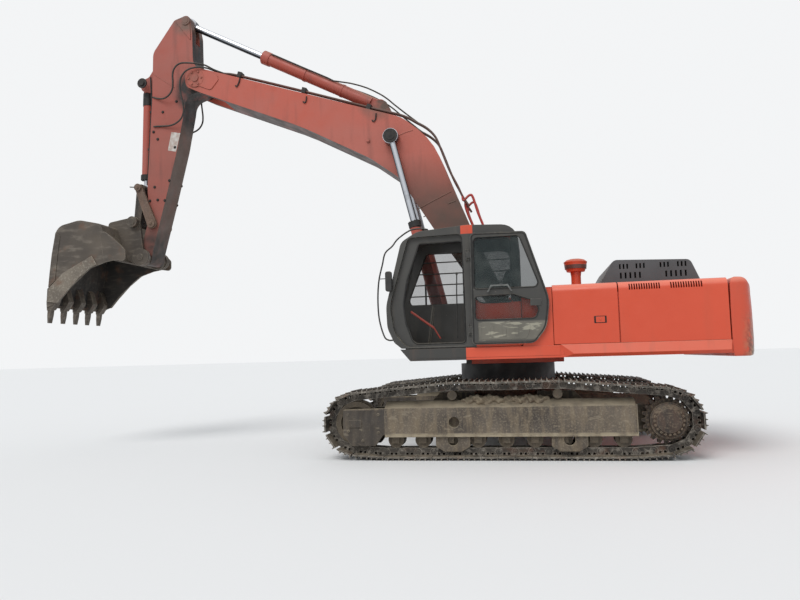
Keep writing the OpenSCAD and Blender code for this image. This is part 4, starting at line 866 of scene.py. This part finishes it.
def cushion(centre, half, lean, power=3.2, rows=36, columns=56):
    """A crowned pad: a superellipsoid whose power squares its sides, with sewn channels, turned back by the lean."""
    v = np.linspace(-math.pi / 2, math.pi / 2, rows)[:, None]
    u = np.linspace(0, 2 * math.pi, columns, endpoint=False)[None]
    share = 2 / power
    flat = np.sign(np.cos(v)) * np.abs(np.cos(v)) ** share
    x = flat * np.sign(np.cos(u)) * np.abs(np.cos(u)) ** share
    y = flat * np.sign(np.sin(u)) * np.abs(np.sin(u)) ** share
    z = np.sign(np.sin(v)) * np.abs(np.sin(v)) ** share + 0 * u
    groove = 1 - 0.10 * np.exp(-((np.abs(y) - 0.55) / 0.05) ** 2)
    x, y, z = x * half[0], y * half[1], z * half[2] * groove
    c, s = math.cos(lean), math.sin(lean)
    points = np.stack([centre[0] + c * x + s * z, centre[1] + y, centre[2] - s * x + c * z], axis=-1)
    return points.reshape(-1, 3), [[columns + i for i in face] for face in ring_faces(rows - 2, columns)]


SEAT_Y = 0.9825
pads = [solid("seat_cushion", [cushion((0.24, SEAT_Y, 1.855), (0.250, 0.250, 0.062), 0.0)], (), 0, 60),
        solid("seat_back", [cushion((-0.035, SEAT_Y, 2.205), (0.058, 0.230, 0.315), -0.21)], (), 0, 60)]
for pad in pads:
    fit(pad, woven, "upper")
seat_base = [block((0.02, SEAT_Y - 0.18, 1.512), (0.42, SEAT_Y + 0.18, 1.797))]
plastic = plain("console_plastic", (86, 82, 74), (64, 61, 55), 0.6, 0.0, 60.0, 0.2, 0.35)
fit(solid("seat_base", seat_base, (), 0.01), plastic, "upper", ["seat"])
wear(["consoles"], plastic)


# Side covers: pressed doors with a rounded upper edge, air slots in two groups in the rear one, and the
# fixed deck and posts between them. All in even orange, the newest paint on the machine, with a painted highlight on
# the faces that look up.
def sunlit_top(f, base):
    """A painted highlight: the rounded upper edge and the tops in a light orange where they look up."""
    return f.mix(f.facing(UP, 0.2, 0.75), base, (232, 122, 98))


cover_paint = painted("cover_paint", ORANGE, ORANGE_FADED, (150, 84, 62), sunlit_top, 0.10, 0.14, 0.22, 0.36, 0.7)
SEAM_FRONT, SEAM_MID, CW_X = -0.660, -1.490, -2.820
COVER_Z, COVER_T, ROUND_R, SEAM = 2.254, 0.030, 0.110, 0.007
SLOT_X, SLOT_PITCH, SLOT_HALF, SLOT_GROUP = -2.067, 0.0302, 0.008, 0.2525


def cover_section(by):
    """The cover's outside moved in by a distance: upright, a quarter round, and a short flat top, as (y, z)."""
    edge = arc((HALF_W - ROUND_R, COVER_Z - ROUND_R), ROUND_R - by, 0, 90, 13)
    return np.vstack([[(HALF_W - by, DECK + 0.008)], edge, [(HALF_W - ROUND_R - 0.005, COVER_Z - by)]])


section = np.vstack([cover_section(0), cover_section(COVER_T)[::-1]])
slots = [block((x - SLOT_HALF, HALF_W - ROUND_R, COVER_Z - 0.112), (x + SLOT_HALF, HALF_W + 0.01, COVER_Z - 0.034))
         for x in [SLOT_X + group + i * SLOT_PITCH for group in (-SLOT_GROUP, SLOT_GROUP) for i in range(-6, 7)]]
doors = (("left_front_door", SEAM_MID + SEAM, SEAM_FRONT - SEAM, 1, ()),
         ("left_rear_door", CW_X + 0.016, SEAM_MID - SEAM, 1, slots),
         ("right_rear_door", CW_X + 0.016, SEAM_MID - SEAM, -1, slots))
for name, x0, x1, side, cuts in doors:
    cover = solid(name + "_sheet", mirrored([prism(section, 0, x0, x1)], side), mirrored(list(cuts), side), 0.005)
    fit(cover, cover_paint, name, [name])
wear(["housing_left", "housing_right"], cover_paint)
# Black, matt finish for painted shade behind slots and in recesses.
painted_shade_black = plain("slot_shadow", (24, 23, 22), (32, 30, 28), 0.8, 0.0, 20.0, 0.1)
# A thin black plate round the latch: painted shade for its recess.
latch_recess_shade = [block((-1.333, HALF_W + 0.0005, 1.732), (-1.179, HALF_W + 0.0030, 1.822))]
latch_plate = [block((-1.312, HALF_W + 0.0031, 1.740), (-1.200, HALF_W + 0.0060, 1.814)),
               round_bar((-1.256, 1.777), 0.012, 1, HALF_W + 0.006, HALF_W + 0.012, 20)]
fit(solid("latch_recess_shade", latch_recess_shade, (), 0), painted_shade_black, "left_front_door")
fit(solid("latch_plate", latch_plate, (), 0.002), cover_paint, "left_front_door")


# Counterweight: one iron casting on the frame's tail, its rear an arc about the slewing centre, drawn in
# above and below, with a round upper edge. Its lower rear corners are chipped to grey.
def casting_wear_and_top_highlight(f, base):
    """Chips and scrapes to grey iron at the lower rear corners, scuffs over the casting's sides, and a light orange
    painted highlight where it looks up.
    """
    rear = f.along("X", -2.92, -3.08)
    low = f.along("Z", 1.86, 1.42)
    worn = f.times(f.times(rear, low), f.ramp(f.noise(13, 6), 0.36, 0.46))
    scuffs = f.ramp(f.noise(12, 5, (0.5, 0.5, 2.0)), 0.62, 0.67, 0.0, 0.7)
    base = f.mix(f.facing(UP, 0.2, 0.75), base, (232, 122, 98))
    base = f.mix(f.times(scuffs, rear), base, (150, 96, 80))
    return f.mix(worn, base, f.mix(f.ramp(f.noise(17, 5), 0.42, 0.58), (72, 62, 56), (158, 124, 96)))


casting_paint = painted("casting_paint", ORANGE, (194, 78, 54), (140, 84, 66), casting_wear_and_top_highlight, 0.25, 0.2, 0.4,
                        0.42)
TAIL_R, CW_LOW, CW_TOP, TOP_ROUND, TOP_IN = 3360, 1.264, 2.257, 0.11, 0.09
quarter = np.radians(np.arange(0, 91, 10))
tail = [(-TAIL_R * math.cos(a), TAIL_R * math.sin(a), 0) for a in np.radians(np.arange(-21, 22, 3))]
plan = rounded([(-2820, 1495, 0), (-2820, -1495, 0), (-3045, -1495, 170)] + tail + [(-3045, 1495, 170)])
rise = np.concatenate([[0.0, 0.006, 0.02, 0.05], np.linspace(0.12, 0.80, 8),
                       CW_TOP - CW_LOW - TOP_ROUND + TOP_ROUND * np.sin(quarter)])
drawn_in = np.interp(rise, [0, 0.006, 0.02, 0.05, 0.20, 0.45, 0.65, 0.80],
                     [0.030, 0.020, 0.012, 0.006, 0.0, 0.0, 0.002, 0.008])
drawn_in[-len(quarter):] += TOP_IN * (1 - np.cos(quarter))
levels = []
for height, by in zip(rise, drawn_in):
    levels.append(np.column_stack([inset(plan, by), np.full(len(plan), CW_LOW + height)]))
walls = ring_faces(len(levels), len(plan))
lifting = [round_bar((-3.140, s * 0.700), 0.024, 2, CW_TOP - 0.12, CW_TOP + 0.05, 24) for s in (1, -1)]
fit(solid("counterweight_casting", [(np.vstack(levels), walls)], lifting, 0), casting_paint, "upper",
    ["counterweight"])

# Engine and hood: the hood is a dark grey pressing hinged at the rear, with four groups of three slots
# over two of five in each side. The engine and its coolers stand under it, oily and dusty.
hood_paint = painted("hood_paint", (74, 76, 77), (90, 92, 94), (70, 66, 60), None, 0.4, 0.2, 0.3, 0.5)
hood_line = rounded([(-2640, 2236, 0), (-2505, 2566, 80), (-1518, 2605, 90), (-1298, 2236, 0)])
HOOD_SIDE, HOOD_T = 0.925, 0.025
hood_holes = [prism(inset(hood_line, HOOD_T), 1, HOOD_T - HOOD_SIDE, HOOD_SIDE - HOOD_T)]
for starts, count, pitch, width, low, high in (((-1.612, -1.828, -2.138, -2.360), 3, 0.048, 0.022, 2.475, 2.543),
                                               ((-1.620, -2.206), 5, 0.062, 0.024, 2.343, 2.425)):
    hood_holes += [block((x - i * pitch, -1.0, low), (x - i * pitch + width, 1.0, high))
                   for x in starts for i in range(count)]
fit(solid("hood_pressing", [prism(hood_line, 1, -HOOD_SIDE, HOOD_SIDE)], hood_holes, 0.012), hood_paint, "hood",
    ["hood"])
# Black sheets just inside the hood's sides: painted shade behind the slots.
slot_shade_sheets = [prism(inset(hood_line, 0.030), 1, 0.840, 0.856)]
fit(solid("hood_slot_shade", both_sides(slot_shade_sheets), (), 0), painted_shade_black, "hood")
engine_paint = plain("engine_paint", (50, 50, 48), (30, 29, 27), 0.6, 0.0, 6.0, 0.2, 0.5)
wear(["engine"], engine_paint)


# Precleaner: a spun bowl clamped on the air intake's pipe, its dust window a dark band between rings of
# orange.
def dark_window(f, base):
    """A brown see-through band round the bowl, dark with the dust behind it."""
    return f.mix(f.times(f.along("Z", 2.541, 2.545), f.along("Z", 2.604, 2.600)), base, (98, 62, 54))


bowl_paint = painted("bowl_paint", ORANGE, ORANGE_FADED, GRIME, dark_window, 0.4, 0.2, 0.3, 0.36)
bowl = np.array([(0.068, 2.2355), (0.068, 2.440), (0.075, 2.480), (0.075, 2.505), (0.125, 2.508), (0.137, 2.541),
                 (0.150, 2.545), (0.156, 2.600), (0.158, 2.626), (0.163, 2.632), (0.163, 2.648), (0.152, 2.656),
                 (0.125, 2.676), (0.080, 2.688)])
BOWL_X, BOWL_Y, BOWL_SIDES = -1.038, 0.560, 48
angle = np.arange(BOWL_SIDES) * 2 * math.pi / BOWL_SIDES
radius, height = bowl[:, :1], bowl[:, 1:]
rings = np.stack([BOWL_X + radius * np.cos(angle), BOWL_Y + radius * np.sin(angle), height + 0 * angle], axis=-1)
turned = (rings.reshape(-1, 3), ring_faces(len(bowl), BOWL_SIDES))
fit(solid("precleaner_bowl", [turned], (), 0, 40), bowl_paint, "upper", ["precleaner"])

# Boom: a welded box of thick plate, wide as a fork at its end, in paint that the sun has faded to
# coral. Doubler plates and bosses are welded on at the pins, and mud has dried on its lower back.
CORAL, CORAL_FADED = (178, 80, 61), (170, 92, 78)


def boom_weather_and_shade(f, base):
    """Brown dirt low on the boom's back, painted shade in patches on the faces that look down, and dark grease where
    boom and arm meet.
    """
    dirt = f.times(f.along("Z", 4.5, 3.7), f.ramp(f.noise(2.0, 7), 0.30, 0.55, 0.8, 1.0))
    base = f.mix(dirt, base, (88, 64, 53))
    lug = f.near((1.83, 0.0, 5.46), 0.20, 0.42, (1, 0.3, 1))
    base = f.mix(f.times(lug, f.ramp(f.noise(5, 6), 0.32, 0.55, 0.3, 1.0)), base, (98, 78, 66))
    under = f.facing((0.25, 0, -1), 0.45, 0.9)
    base = f.mix(f.times(under, f.ramp(f.noise(2.5, 6), 0.25, 0.5, 0.7, 1.0)), base, (66, 50, 44))
    joint = f.near((5.02, 0.0, 6.08), 0.10, 0.30, (1, 0.3, 1))
    return f.mix(f.times(joint, f.ramp(f.noise(6, 6), 0.38, 0.58, 0.1, 0.6)), base, (120, 86, 72))


boom_paint = painted("faded_paint", CORAL, CORAL_FADED, (104, 62, 52), boom_weather_and_shade, 0.45, 0.45, 0.5, 0.5)
wear(["boom"], boom_paint)
BOOM_HALF = 0.300
doubler = rounded([(4590, 6140, 60), (4545, 6040, 50), (4690, 5872, 60), (4900, 5965, 60), (5060, 5960, 100),
                   (5115, 6120, 120), (5080, 6250, 100), (4900, 6250, 60)])
boom_fittings = [prism(doubler, 1, BOOM_HALF - 0.001, BOOM_HALF + 0.012)]
beads = [[(1.270, 3.623), (1.0, 3.752), (0.734, 3.869)], [(1.523, 4.822), (1.41, 4.86), (1.303, 4.882)],
         [(0.793, 3.681), (0.676, 3.717)]]
boom_fittings += [tube(at_y(bead, BOOM_HALF), 0.008, 8) for bead in beads]
OUT = (0, 1, 0)
boom_fittings += [bolt_heads((2.022, BOOM_HALF, 4.775), OUT, 0.026, 0.03),
                  bolt_heads(ring_places((4.965, 6.105), 0.115, 6, BOOM_HALF + 0.015), OUT, 0.016, 0.016),
                  bolt_heads(ring_places((1.636, 4.777), 0.090, 4, 0.352, 45), OUT, 0.012, 0.012)]
fit(solid("boom_fittings", both_sides(boom_fittings), (), 0.003), boom_paint, "boom")

# Steel lines on the boom: two on each side along its back in clamps, carried on J-shaped brackets, and
# from the pipes' ends hoses go to the arm. Two red lines stand off the boom's foot.
line_paint = painted("line_paint", (96, 56, 46), (70, 60, 55), (60, 52, 46), None, 0.5, 0.4, 0.5, 0.55)
black_steel = plain("black_fitting", (34, 32, 31), (52, 47, 43), 0.55, 0.3, 14.0, 0.15, 0.35)
back = np.array([(0.480, 3.640), (0.568, 3.790), (0.640, 3.960), (0.735, 4.160), (0.800, 4.330), (0.880, 4.560),
                 (0.960, 4.760), (1.080, 4.900), (1.240, 5.010), (1.480, 5.150), (2.027, 5.338), (3.080, 5.705),
                 (4.190, 6.082), (4.466, 6.150)])
INNER_Y, OUTER_Y, CLAMP_Y = 0.215, 0.262, (0.180, 0.298)
lines, clamps = [tube(eased(at_y(back, y), 90), 0.017) for y in (INNER_Y, OUTER_Y)], []
slope = math.atan2(6.108 - 5.721, 4.190 - 3.080)
ahead, across = np.array((math.cos(slope), math.sin(slope))), np.array((-math.sin(slope), math.cos(slope)))
for x, z in ((4.181, 6.104), (3.073, 5.721), (2.002, 5.340)):
    foot = np.array((x, z)) - 0.052 * across
    top = foot + 0.085 * across
    corners = np.array([foot - 0.035 * ahead, foot + 0.035 * ahead, top + 0.035 * ahead, top - 0.035 * ahead])
    clamps.append(prism(corners, 1, *CLAMP_Y))
    clamps.append(bolt_heads(at_y([top], (INNER_Y + OUTER_Y) / 2), (across[0], 0, across[1]), 0.013, 0.014))
brackets = []
for hook in ([(4.164, 6.021), (4.188, 5.939), (4.222, 5.883), (4.244, 5.902)],
             [(3.023, 5.592), (3.032, 5.518), (3.057, 5.492), (3.083, 5.515)],
             [(1.880, 5.203), (1.892, 5.112), (1.924, 5.076), (1.949, 5.101)]):
    brackets.append(tube(eased(at_y(hook, 0.312), 16), 0.011, 8))
fit(solid("boom_lines", both_sides(lines), (), 0), line_paint, "boom", ["boom_pipes"])
fit(solid("boom_line_clamps", both_sides(clamps + brackets), (), 0.004), black_steel, "boom")
red_a = [(0.568, 3.790), (0.554, 3.726), (0.463, 3.797), (0.413, 3.767), (0.346, 3.532), (0.277, 3.336),
         (0.235, 3.180)]
red_b = [(0.531, 3.700), (0.531, 3.634), (0.499, 3.517), (0.440, 3.359), (0.380, 3.200)]
foot_lines = [tube(eased(at_y(line, y), 40), 0.019) for line, y in ((red_a, OUTER_Y), (red_b, INNER_Y))]
line_red = painted("line_red", (170, 48, 40), (150, 56, 46), GRIME, None, 0.3, 0.3, 0.3, 0.4)
fit(solid("foot_lines", both_sides(foot_lines), (), 0), line_red, "boom")


# Boom cylinders: painted barrels with a black gland ring held by bolts, and a chromed rod whose eye
# turns on the boom's pin. The rod's bright middle and dark sides are a painted reflection.
def black_gland(f, base):
    """The boom cylinders' upper ends, from the gland's flange on, are black with oil."""
    end = f.times(f.along("Z", 3.315, 3.325), f.near((1.30, 0, 3.37), 0.24, 0.26, (1, 0, 1)))
    return f.mix(end, base, (34, 32, 31))


cylinder_paint = painted("cylinder_paint", (168, 74, 58), (160, 88, 76), (84, 60, 52), black_gland, 0.5, 0.5, 0.45,
                         0.48)
wear(["boom_barrels", "arm_barrel", "bucket_barrel"], cylinder_paint)


def chromed(name):
    """Hard chrome on a rod with a painted reflection: bright where it looks up or outwards, as if mirroring the sky,
    and dark elsewhere, as if mirroring the ground and the boom.
    """
    f = Finish(name)
    outwards = f.both("MAXIMUM", f.facing((0, 0.85, 0.53), 0.45, 0.95), f.facing((0, -0.85, 0.53), 0.45, 0.95))
    base = f.mix(outwards, (70, 74, 80), (236, 238, 242))
    base = f.mix(f.ramp(f.noise(30, 3, (0.3, 1, 0.3)), 0.60, 0.75, 0.0, 0.3), base, (120, 118, 116))
    return f.close(base, f.ramp(f.noise(6, 3), 0.3, 0.7, 0.16, 0.26), Metallic=0.8)


chrome = chromed("chrome_rod")
wear(["boom_rods", "arm_rod", "bucket_rod"], chrome)


def about_line(a, b, y, count):
    """The line from pin to pin at one y: its start, its direction, and unit vectors square to it all round."""
    start, end = at_y([a, b], y)
    ahead = (end - start) / np.linalg.norm(end - start)
    angle = np.arange(count)[:, None] * 2 * math.pi / count
    return start, ahead, np.cos(angle) * np.cross(ahead, (0, 1, 0)) + np.sin(angle) * np.array((0, 1, 0))


def collar(a, b, low, high, outer, inner, y=0.0, sides=40):
    """A ring round the line between two pins, from one distance along it to another: four rings of points, closed."""
    start, ahead, round_it = about_line(a, b, y, sides)
    corners = ((low, inner), (low, outer), (high, outer), (high, inner))
    return np.vstack([start + at * ahead + radius * round_it for at, radius in corners]), ring_faces(4, sides, True)


def bolt_ring(a, b, at, radius, count, size, y=0.0):
    """Bolt heads on a circle about the line between two pins, facing its far end."""
    start, ahead, round_it = about_line(a, b, y, count)
    return bolt_heads(start + at * ahead + radius * round_it, ahead, size, size)


BOOM_FOOT, BOOM_EYE = (0.850, 1.485), (1.636, 4.777)
glands = []
for y in (0.400, -0.400):
    glands += [collar(BOOM_FOOT, BOOM_EYE, 1.895, 1.985, 0.097, 0.052, y),
               bolt_ring(BOOM_FOOT, BOOM_EYE, 1.985, 0.076, 10, 0.011, y)]
fit(solid("boom_glands", glands, (), 0.003), black_steel, "boom_barrels")
EYE_Y = 0.459
caps = [round_bar(BOOM_EYE, radius, 1, EYE_Y, EYE_Y + thick, 32) for radius, thick in ((0.112, 0.008), (0.070, 0.014))]
fit(solid("boom_eye_caps", both_sides(caps), (), 0.004), black_steel, "boom_rods")

# Arm cylinder: barrel with a gland, a clamp band round its middle and a steel line along its side, fed by
# a hose from the boom's lines. Its foot lugs are dark with oil and dirt.
ARM_FOOT, ARM_EYE = (1.868, 5.409), (5.185, 7.178)
arm_fittings = [collar(ARM_FOOT, ARM_EYE, 2.140, 2.262, 0.114, 0.0565),
                bolt_ring(ARM_FOOT, ARM_EYE, 2.262, 0.088, 12, 0.012),
                collar(ARM_FOOT, ARM_EYE, 1.410, 1.450, 0.109, 0.0995),
                collar(ARM_FOOT, ARM_EYE, 0.700, 0.735, 0.107, 0.0995)]
fit(solid("arm_cylinder_fittings", arm_fittings, (), 0.003), cylinder_paint, "arm_barrel")
side_line = np.array([(3.700, 0.070, 6.470), (3.650, 0.096, 6.446), (3.564, 0.100, 6.400), (3.103, 0.100, 6.153),
                      (2.760, 0.100, 5.972), (2.629, 0.094, 5.896)])
side_tubes = both_sides([tube(eased(side_line, 40), 0.013, 10)])
fit(solid("arm_cylinder_line", side_tubes, (), 0), black_steel, "arm_barrel")


def hose(name, points, diameter, count):
    """A rubber hose along a smooth curve through points."""
    path = eased(points, count)
    made = mesh_object(name, *tube(path, diameter / 2))
    face_outwards(made)
    smooth(made, 60)
    made.data.materials.append(hose_rubber)
    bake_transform(made)


hose_rubber = plain("hose_rubber", (36, 34, 33), (58, 52, 47), 0.65, 0.0, 22.0, 0.2, 0.4)
loop_one = np.array([(4.466, 0.262, 6.150), (4.640, 0.275, 6.228), (4.796, 0.290, 6.318), (4.947, 0.318, 6.352),
                     (5.104, 0.340, 6.372), (5.220, 0.352, 6.368), (5.310, 0.352, 6.310), (5.352, 0.350, 6.200),
                     (5.350, 0.345, 6.070), (5.370, 0.330, 5.950), (5.450, 0.300, 5.866), (5.570, 0.260, 5.835),
                     (5.700, 0.225, 5.860), (5.800, 0.205, 5.900)])
loop_two = np.array([(4.466, 0.215, 6.150), (4.621, 0.250, 6.210), (4.781, 0.315, 6.262), (4.955, 0.350, 6.270),
                     (5.090, 0.372, 6.225), (5.180, 0.380, 6.120), (5.205, 0.380, 5.980), (5.190, 0.375, 5.830),
                     (5.165, 0.355, 5.690), (5.165, 0.330, 5.560), (5.220, 0.300, 5.450), (5.330, 0.270, 5.385),
                     (5.470, 0.240, 5.360), (5.631, 0.222, 5.372), (5.780, 0.215, 5.380)])
for side, where in SIDES:
    hose("arm_hose_outer_" + where, loop_one * (1, side, 1), 0.028, 60)
    hose("arm_hose_inner_" + where, loop_two * (1, side, 1), 0.028, 60)
    feed = np.array([(1.200, 0.238, 4.990), (1.300, 0.250, 5.075), (1.440, 0.235, 5.200), (1.597, 0.222, 5.345),
                     (1.720, 0.215, 5.462), (1.850, 0.208, 5.560), (2.060, 0.190, 5.685), (2.300, 0.155, 5.790),
                     (2.480, 0.120, 5.850), (2.629, 0.094, 5.896)]) * (1, side, 1)
    hose("cylinder_hose_" + where, feed, 0.024, 30)


# Arm: a box of plate in the boom's faded paint made darker, partly as painted shade, and browner and darker
# towards its lower half, partly dirt and partly painted shade. Its rear face is darker, black high up, and its lower
# end greasy. A blank white plate is fixed to its side, with small clamps and bolts along its edges.
def arm_dirt_and_shade(f, base):
    """Rear face darker, black high up and brown below; lower half browner and darker, partly dirt and partly painted
    shade; grease at both pins.
    """
    rear = f.facing((-1, 0, 0.1), 0.5, 0.9)
    rear_colour = f.mix(f.along("Z", 5.2, 5.5), (92, 74, 64), (28, 25, 24))
    lower_dirt_and_shade = f.times(f.along("Z", 6.6, 3.4), f.ramp(f.noise(2.4, 6), 0.3, 0.6, 0.3, 0.85))
    base = f.mix(lower_dirt_and_shade, base, (124, 76, 66))
    base = f.mix(f.times(rear, f.ramp(f.noise(3, 6), 0.25, 0.5, 0.75, 1.0)), base, rear_colour)
    foot = f.near((5.93, 0.0, 3.20), 0.24, 0.52, (1, 0.2, 1))
    base = f.mix(f.times(foot, f.ramp(f.noise(6, 6), 0.36, 0.56, 0.5, 1.0)), base, (46, 38, 33))
    eye = f.near((5.20, 0.0, 7.16), 0.14, 0.27, (1, 0.2, 1))
    base = f.mix(f.times(eye, f.ramp(f.noise(6, 6), 0.32, 0.52, 0.4, 1.0)), base, (110, 82, 70))
    joint = f.near((5.04, 0.0, 5.92), 0.26, 0.40, (1, 0.2, 1))
    return f.mix(f.times(joint, f.ramp(f.noise(6, 6), 0.32, 0.50, 0.5, 1.0)), base, (40, 34, 31))


# The arm's paint is the boom's made darker: partly painted shade.
arm_paint = painted("arm_paint", (162, 76, 62), (150, 88, 76), (92, 58, 50), arm_dirt_and_shade, 0.45, 0.6, 0.5, 0.52)
wear(["arm"], arm_paint)
wear(["arm_pipes"], black_steel)
ARM_HALF = 0.200
seam = at_y([(5.803, 6.316), (5.600, 6.170), (5.399, 6.026)], ARM_HALF)
top_doubler = rounded([(5390, 7195, 20), (5215, 7250, 60), (5120, 7215, 60), (5095, 6820, 10)])
arm_parts = [tube(seam, 0.007, 8), prism(top_doubler, 1, ARM_HALF - 0.001, ARM_HALF + 0.012),
             round_bar(ARM_EYE, 0.078, 1, ARM_HALF - 0.001, ARM_HALF + 0.028),
             round_bar(ARM_EYE, 0.050, 1, ARM_HALF + 0.027, ARM_HALF + 0.034)]
fit(solid("arm_top_bosses", both_sides(arm_parts), (), 0.004), arm_paint, "arm")
spots = np.array([(5.365, 5.783), (5.618, 5.622), (5.856, 4.105), (5.714, 4.112), (5.583, 4.094), (5.498, 4.428),
                  (5.395, 4.991), (5.713, 5.159), (5.771, 4.336), (5.790, 5.291)])
BUCKET_FOOT = (6.000, 6.165)
foot_caps = [round_bar(BUCKET_FOOT, 0.085, 1, ARM_HALF - 0.001, ARM_HALF + 0.022),
             round_bar(BUCKET_FOOT, 0.045, 1, ARM_HALF + 0.02, ARM_HALF + 0.04)]
arm_bolts = bolt_heads(at_y(spots, ARM_HALF), OUT, 0.017, 0.018)
fit(solid("arm_bolts", both_sides([arm_bolts] + foot_caps), (), 0), black_steel, "arm")
sign = np.array([(5.460, 5.261), (5.296, 5.227), (5.376, 4.913), (5.525, 4.948)])
plate_white = plain("plate_white", (196, 192, 186), (168, 150, 140), 0.5, 0.0, 14.0, 0.05, 0.2)
plate = prism(sign, 1, ARM_HALF + 0.0005, ARM_HALF + 0.0030)
fit(solid("blank_plate", [plate], (), 0.001), plate_white, "arm")

# Bucket cylinder: barrel, gland and rod in front of the arm, with black fittings at both ends, and the
# forged rocker and link that it drives. All of it is caked with grease, dust and rust.
ROD_PIN, ARM_PIN = (6.040, 4.335), (5.796, 3.705)
bucket_fittings = [collar(BUCKET_FOOT, ROD_PIN, 1.560, 1.645, 0.100, 0.0465),
                   bolt_ring(BUCKET_FOOT, ROD_PIN, 1.645, 0.078, 10, 0.010),
                   collar(BUCKET_FOOT, ROD_PIN, 0.120, 0.340, 0.090, 0.0815)]
fit(solid("bucket_cylinder_fittings", bucket_fittings, (), 0.003), black_steel, "bucket_barrel")
link_steel = caked("link_steel", (104, 84, 72), (62, 54, 49), (112, 88, 74), (140, 122, 104), 0.75, 0.35, 0.2, 0.9)
wear(["rocker"], link_steel)
push_steel = caked("push_steel", (60, 56, 52), (42, 39, 37), (88, 76, 66), (126, 112, 96), 0.7, 0.35, 0.2, 0.8)
wear(["push_link"], push_steel)
pin_caps = [round_bar(centre, radius, 1, 0.275, 0.290, 28) for centre, radius in ((ROD_PIN, 0.062), (ARM_PIN, 0.070))]
pin_caps.append(bolt_heads(at_y([ROD_PIN, ARM_PIN], 0.290), OUT, 0.024, 0.02))
fit(solid("rocker_pin_caps", both_sides(pin_caps), (), 0.004), link_steel, "rocker")
pin_bar = tube(at_y([(6.060, 4.345), (6.130, 4.352), (6.210, 4.362)], 0.235), 0.009, 10)
fit(solid("rod_pin_bar", [pin_bar], (), 0), black_steel, "rocker")

# Bucket: rolled back plate between two side plates, with side cutters, wear strips, ears on its back and
# five forged teeth on cast adapters along the lip. Stone has scoured it grey-brown, and its inside is darker: painted
# shade.
bucket_steel = scoured("bucket_steel", (92, 83, 73), (74, 67, 60), (122, 113, 101), (0.3, 1, 1), 0.6, 0.15)
inner_shade_steel = scoured("bucket_inner_shade", (62, 58, 54), (44, 42, 40), (90, 84, 76), (0.3, 1, 1), 0.7, 0.1)
bucket_back = [(6212, 3060, 30), (6430, 3655, 60), (6815, 3742, 300), (7235, 3655, 200), (7318, 3180, 500)]
whole = rounded(bucket_back + [(7400, 2330, 0), (7190, 2400, 0), (6985, 2630, 150), (6610, 2940, 250)])
BUCKET_HALF, PLATE = 0.720, 0.028
BACK_POINTS = 36
back_sheet = np.vstack([whole[:BACK_POINTS], inset(whole, PLATE)[:BACK_POINTS][::-1]])
sides = both_sides([prism(whole, 1, BUCKET_HALF - PLATE, BUCKET_HALF)])
shell = solid("bucket_shell", sides + [prism(back_sheet, 1, 0.001 - BUCKET_HALF, BUCKET_HALF - 0.001)], (), 0.006)
fit(shell, bucket_steel, "bucket", ["bucket"])
# Faces that look into the bucket take the darker steel: painted shade.
shell.data.materials.append(inner_shade_steel)
faces = shell.data.polygons
middles, normals = np.zeros(3 * len(faces)), np.zeros(3 * len(faces))
faces.foreach_get("center", middles)
faces.foreach_get("normal", normals)
inward = ((middles.reshape(-1, 3) - (6.90, 0.0, 3.15)) * normals.reshape(-1, 3)).sum(axis=1) < 0
faces.foreach_set("material_index", inward.astype(np.int32))
cheek = rounded([(6470, 3640, 60), (6340, 3510, 100), (6216, 3420, 80), (6070, 3290, 80), (5985, 3200, 60),
                 (5985, 3020, 60), (6169, 3050, 100), (6360, 3020, 0)])
cutter = np.array([(7392, 2420), (7190, 2395), (7035, 2565), (6810, 2785), (6585, 2950), (6480, 2990), (6573, 3135),
                   (7093, 2882), (7350, 2640)]) / 1000
strip = np.array([(7368, 2660), (7345, 2900), (7310, 3200), (7245, 3560), (7165, 3500), (7205, 3180),
                  (7245, 2765)]) / 1000
ear = rounded([(5945, 3238, 0), (6027, 3800, 80), (6180, 3830, 80), (6640, 3760, 60), (6560, 3640, 0), (6250, 3120, 0),
               (6010, 3000, 90), (5880, 3000, 90), (5815, 3140, 60)])
BUCKET_PIN, LINK_PIN, PIN_RADIUS = (5.950, 3.135), (6.109, 3.743), 0.050
EAR_IN, EAR_OUT, BOSS_OUT, PIN_OUT = 0.205, 0.255, 0.345, 0.360
bucket_plates = [prism(cheek, 1, BUCKET_HALF - PLATE + 0.002, BUCKET_HALF + 0.002),
                 prism(strip, 1, BUCKET_HALF - 0.001, BUCKET_HALF + 0.010), prism(ear, 1, EAR_IN, EAR_OUT),
                 round_bar(BUCKET_PIN, 0.100, 1, EAR_OUT - 0.001, 0.264),
                 round_bar(BUCKET_PIN, 0.140, 1, 0.263, BOSS_OUT),
                 round_bar(LINK_PIN, 0.090, 1, EAR_OUT - 0.001, BOSS_OUT)]
bucket_plates += [round_bar(pin, PIN_RADIUS, 1, EAR_IN, PIN_OUT, 28) for pin in (BUCKET_PIN, LINK_PIN)]
bucket_plates = both_sides(bucket_plates)
bucket_plates += [round_bar(pin, PIN_RADIUS, 1, -EAR_IN, EAR_IN, 28) for pin in (BUCKET_PIN, LINK_PIN)]
adapter = np.array([(7300, 2640), (7345, 2690), (7405, 2640), (7418, 2400), (7408, 2280), (7335, 2290), (7255, 2400),
                    (7240, 2440)]) / 1000
tooth = np.array([(7345, 2330), (7406, 2330), (7414, 2200), (7408, 2075), (7392, 2075), (7362, 2200)]) / 1000
ADAPTER_HALF, TOOTH_HALF = 0.062, 0.046
for y in np.linspace(-0.64, 0.64, 5):
    bucket_plates.append(prism(adapter, 1, y - ADAPTER_HALF, y + ADAPTER_HALF))
    bucket_plates.append(prism(tooth, 1, y - TOOTH_HALF, y + TOOTH_HALF))
fit(solid("bucket_plates", bucket_plates, (), 0.008), bucket_steel, "bucket")
cutter_steel = scoured("cutter_steel", (122, 113, 100), (92, 84, 75), (156, 148, 136), (2, 1, 2), 0.6, 0.15)
cutters = both_sides([prism(cutter, 1, BUCKET_HALF - 0.001, BUCKET_HALF + 0.022)])
fit(solid("side_cutters", cutters, (), 0.006), cutter_steel, "bucket")
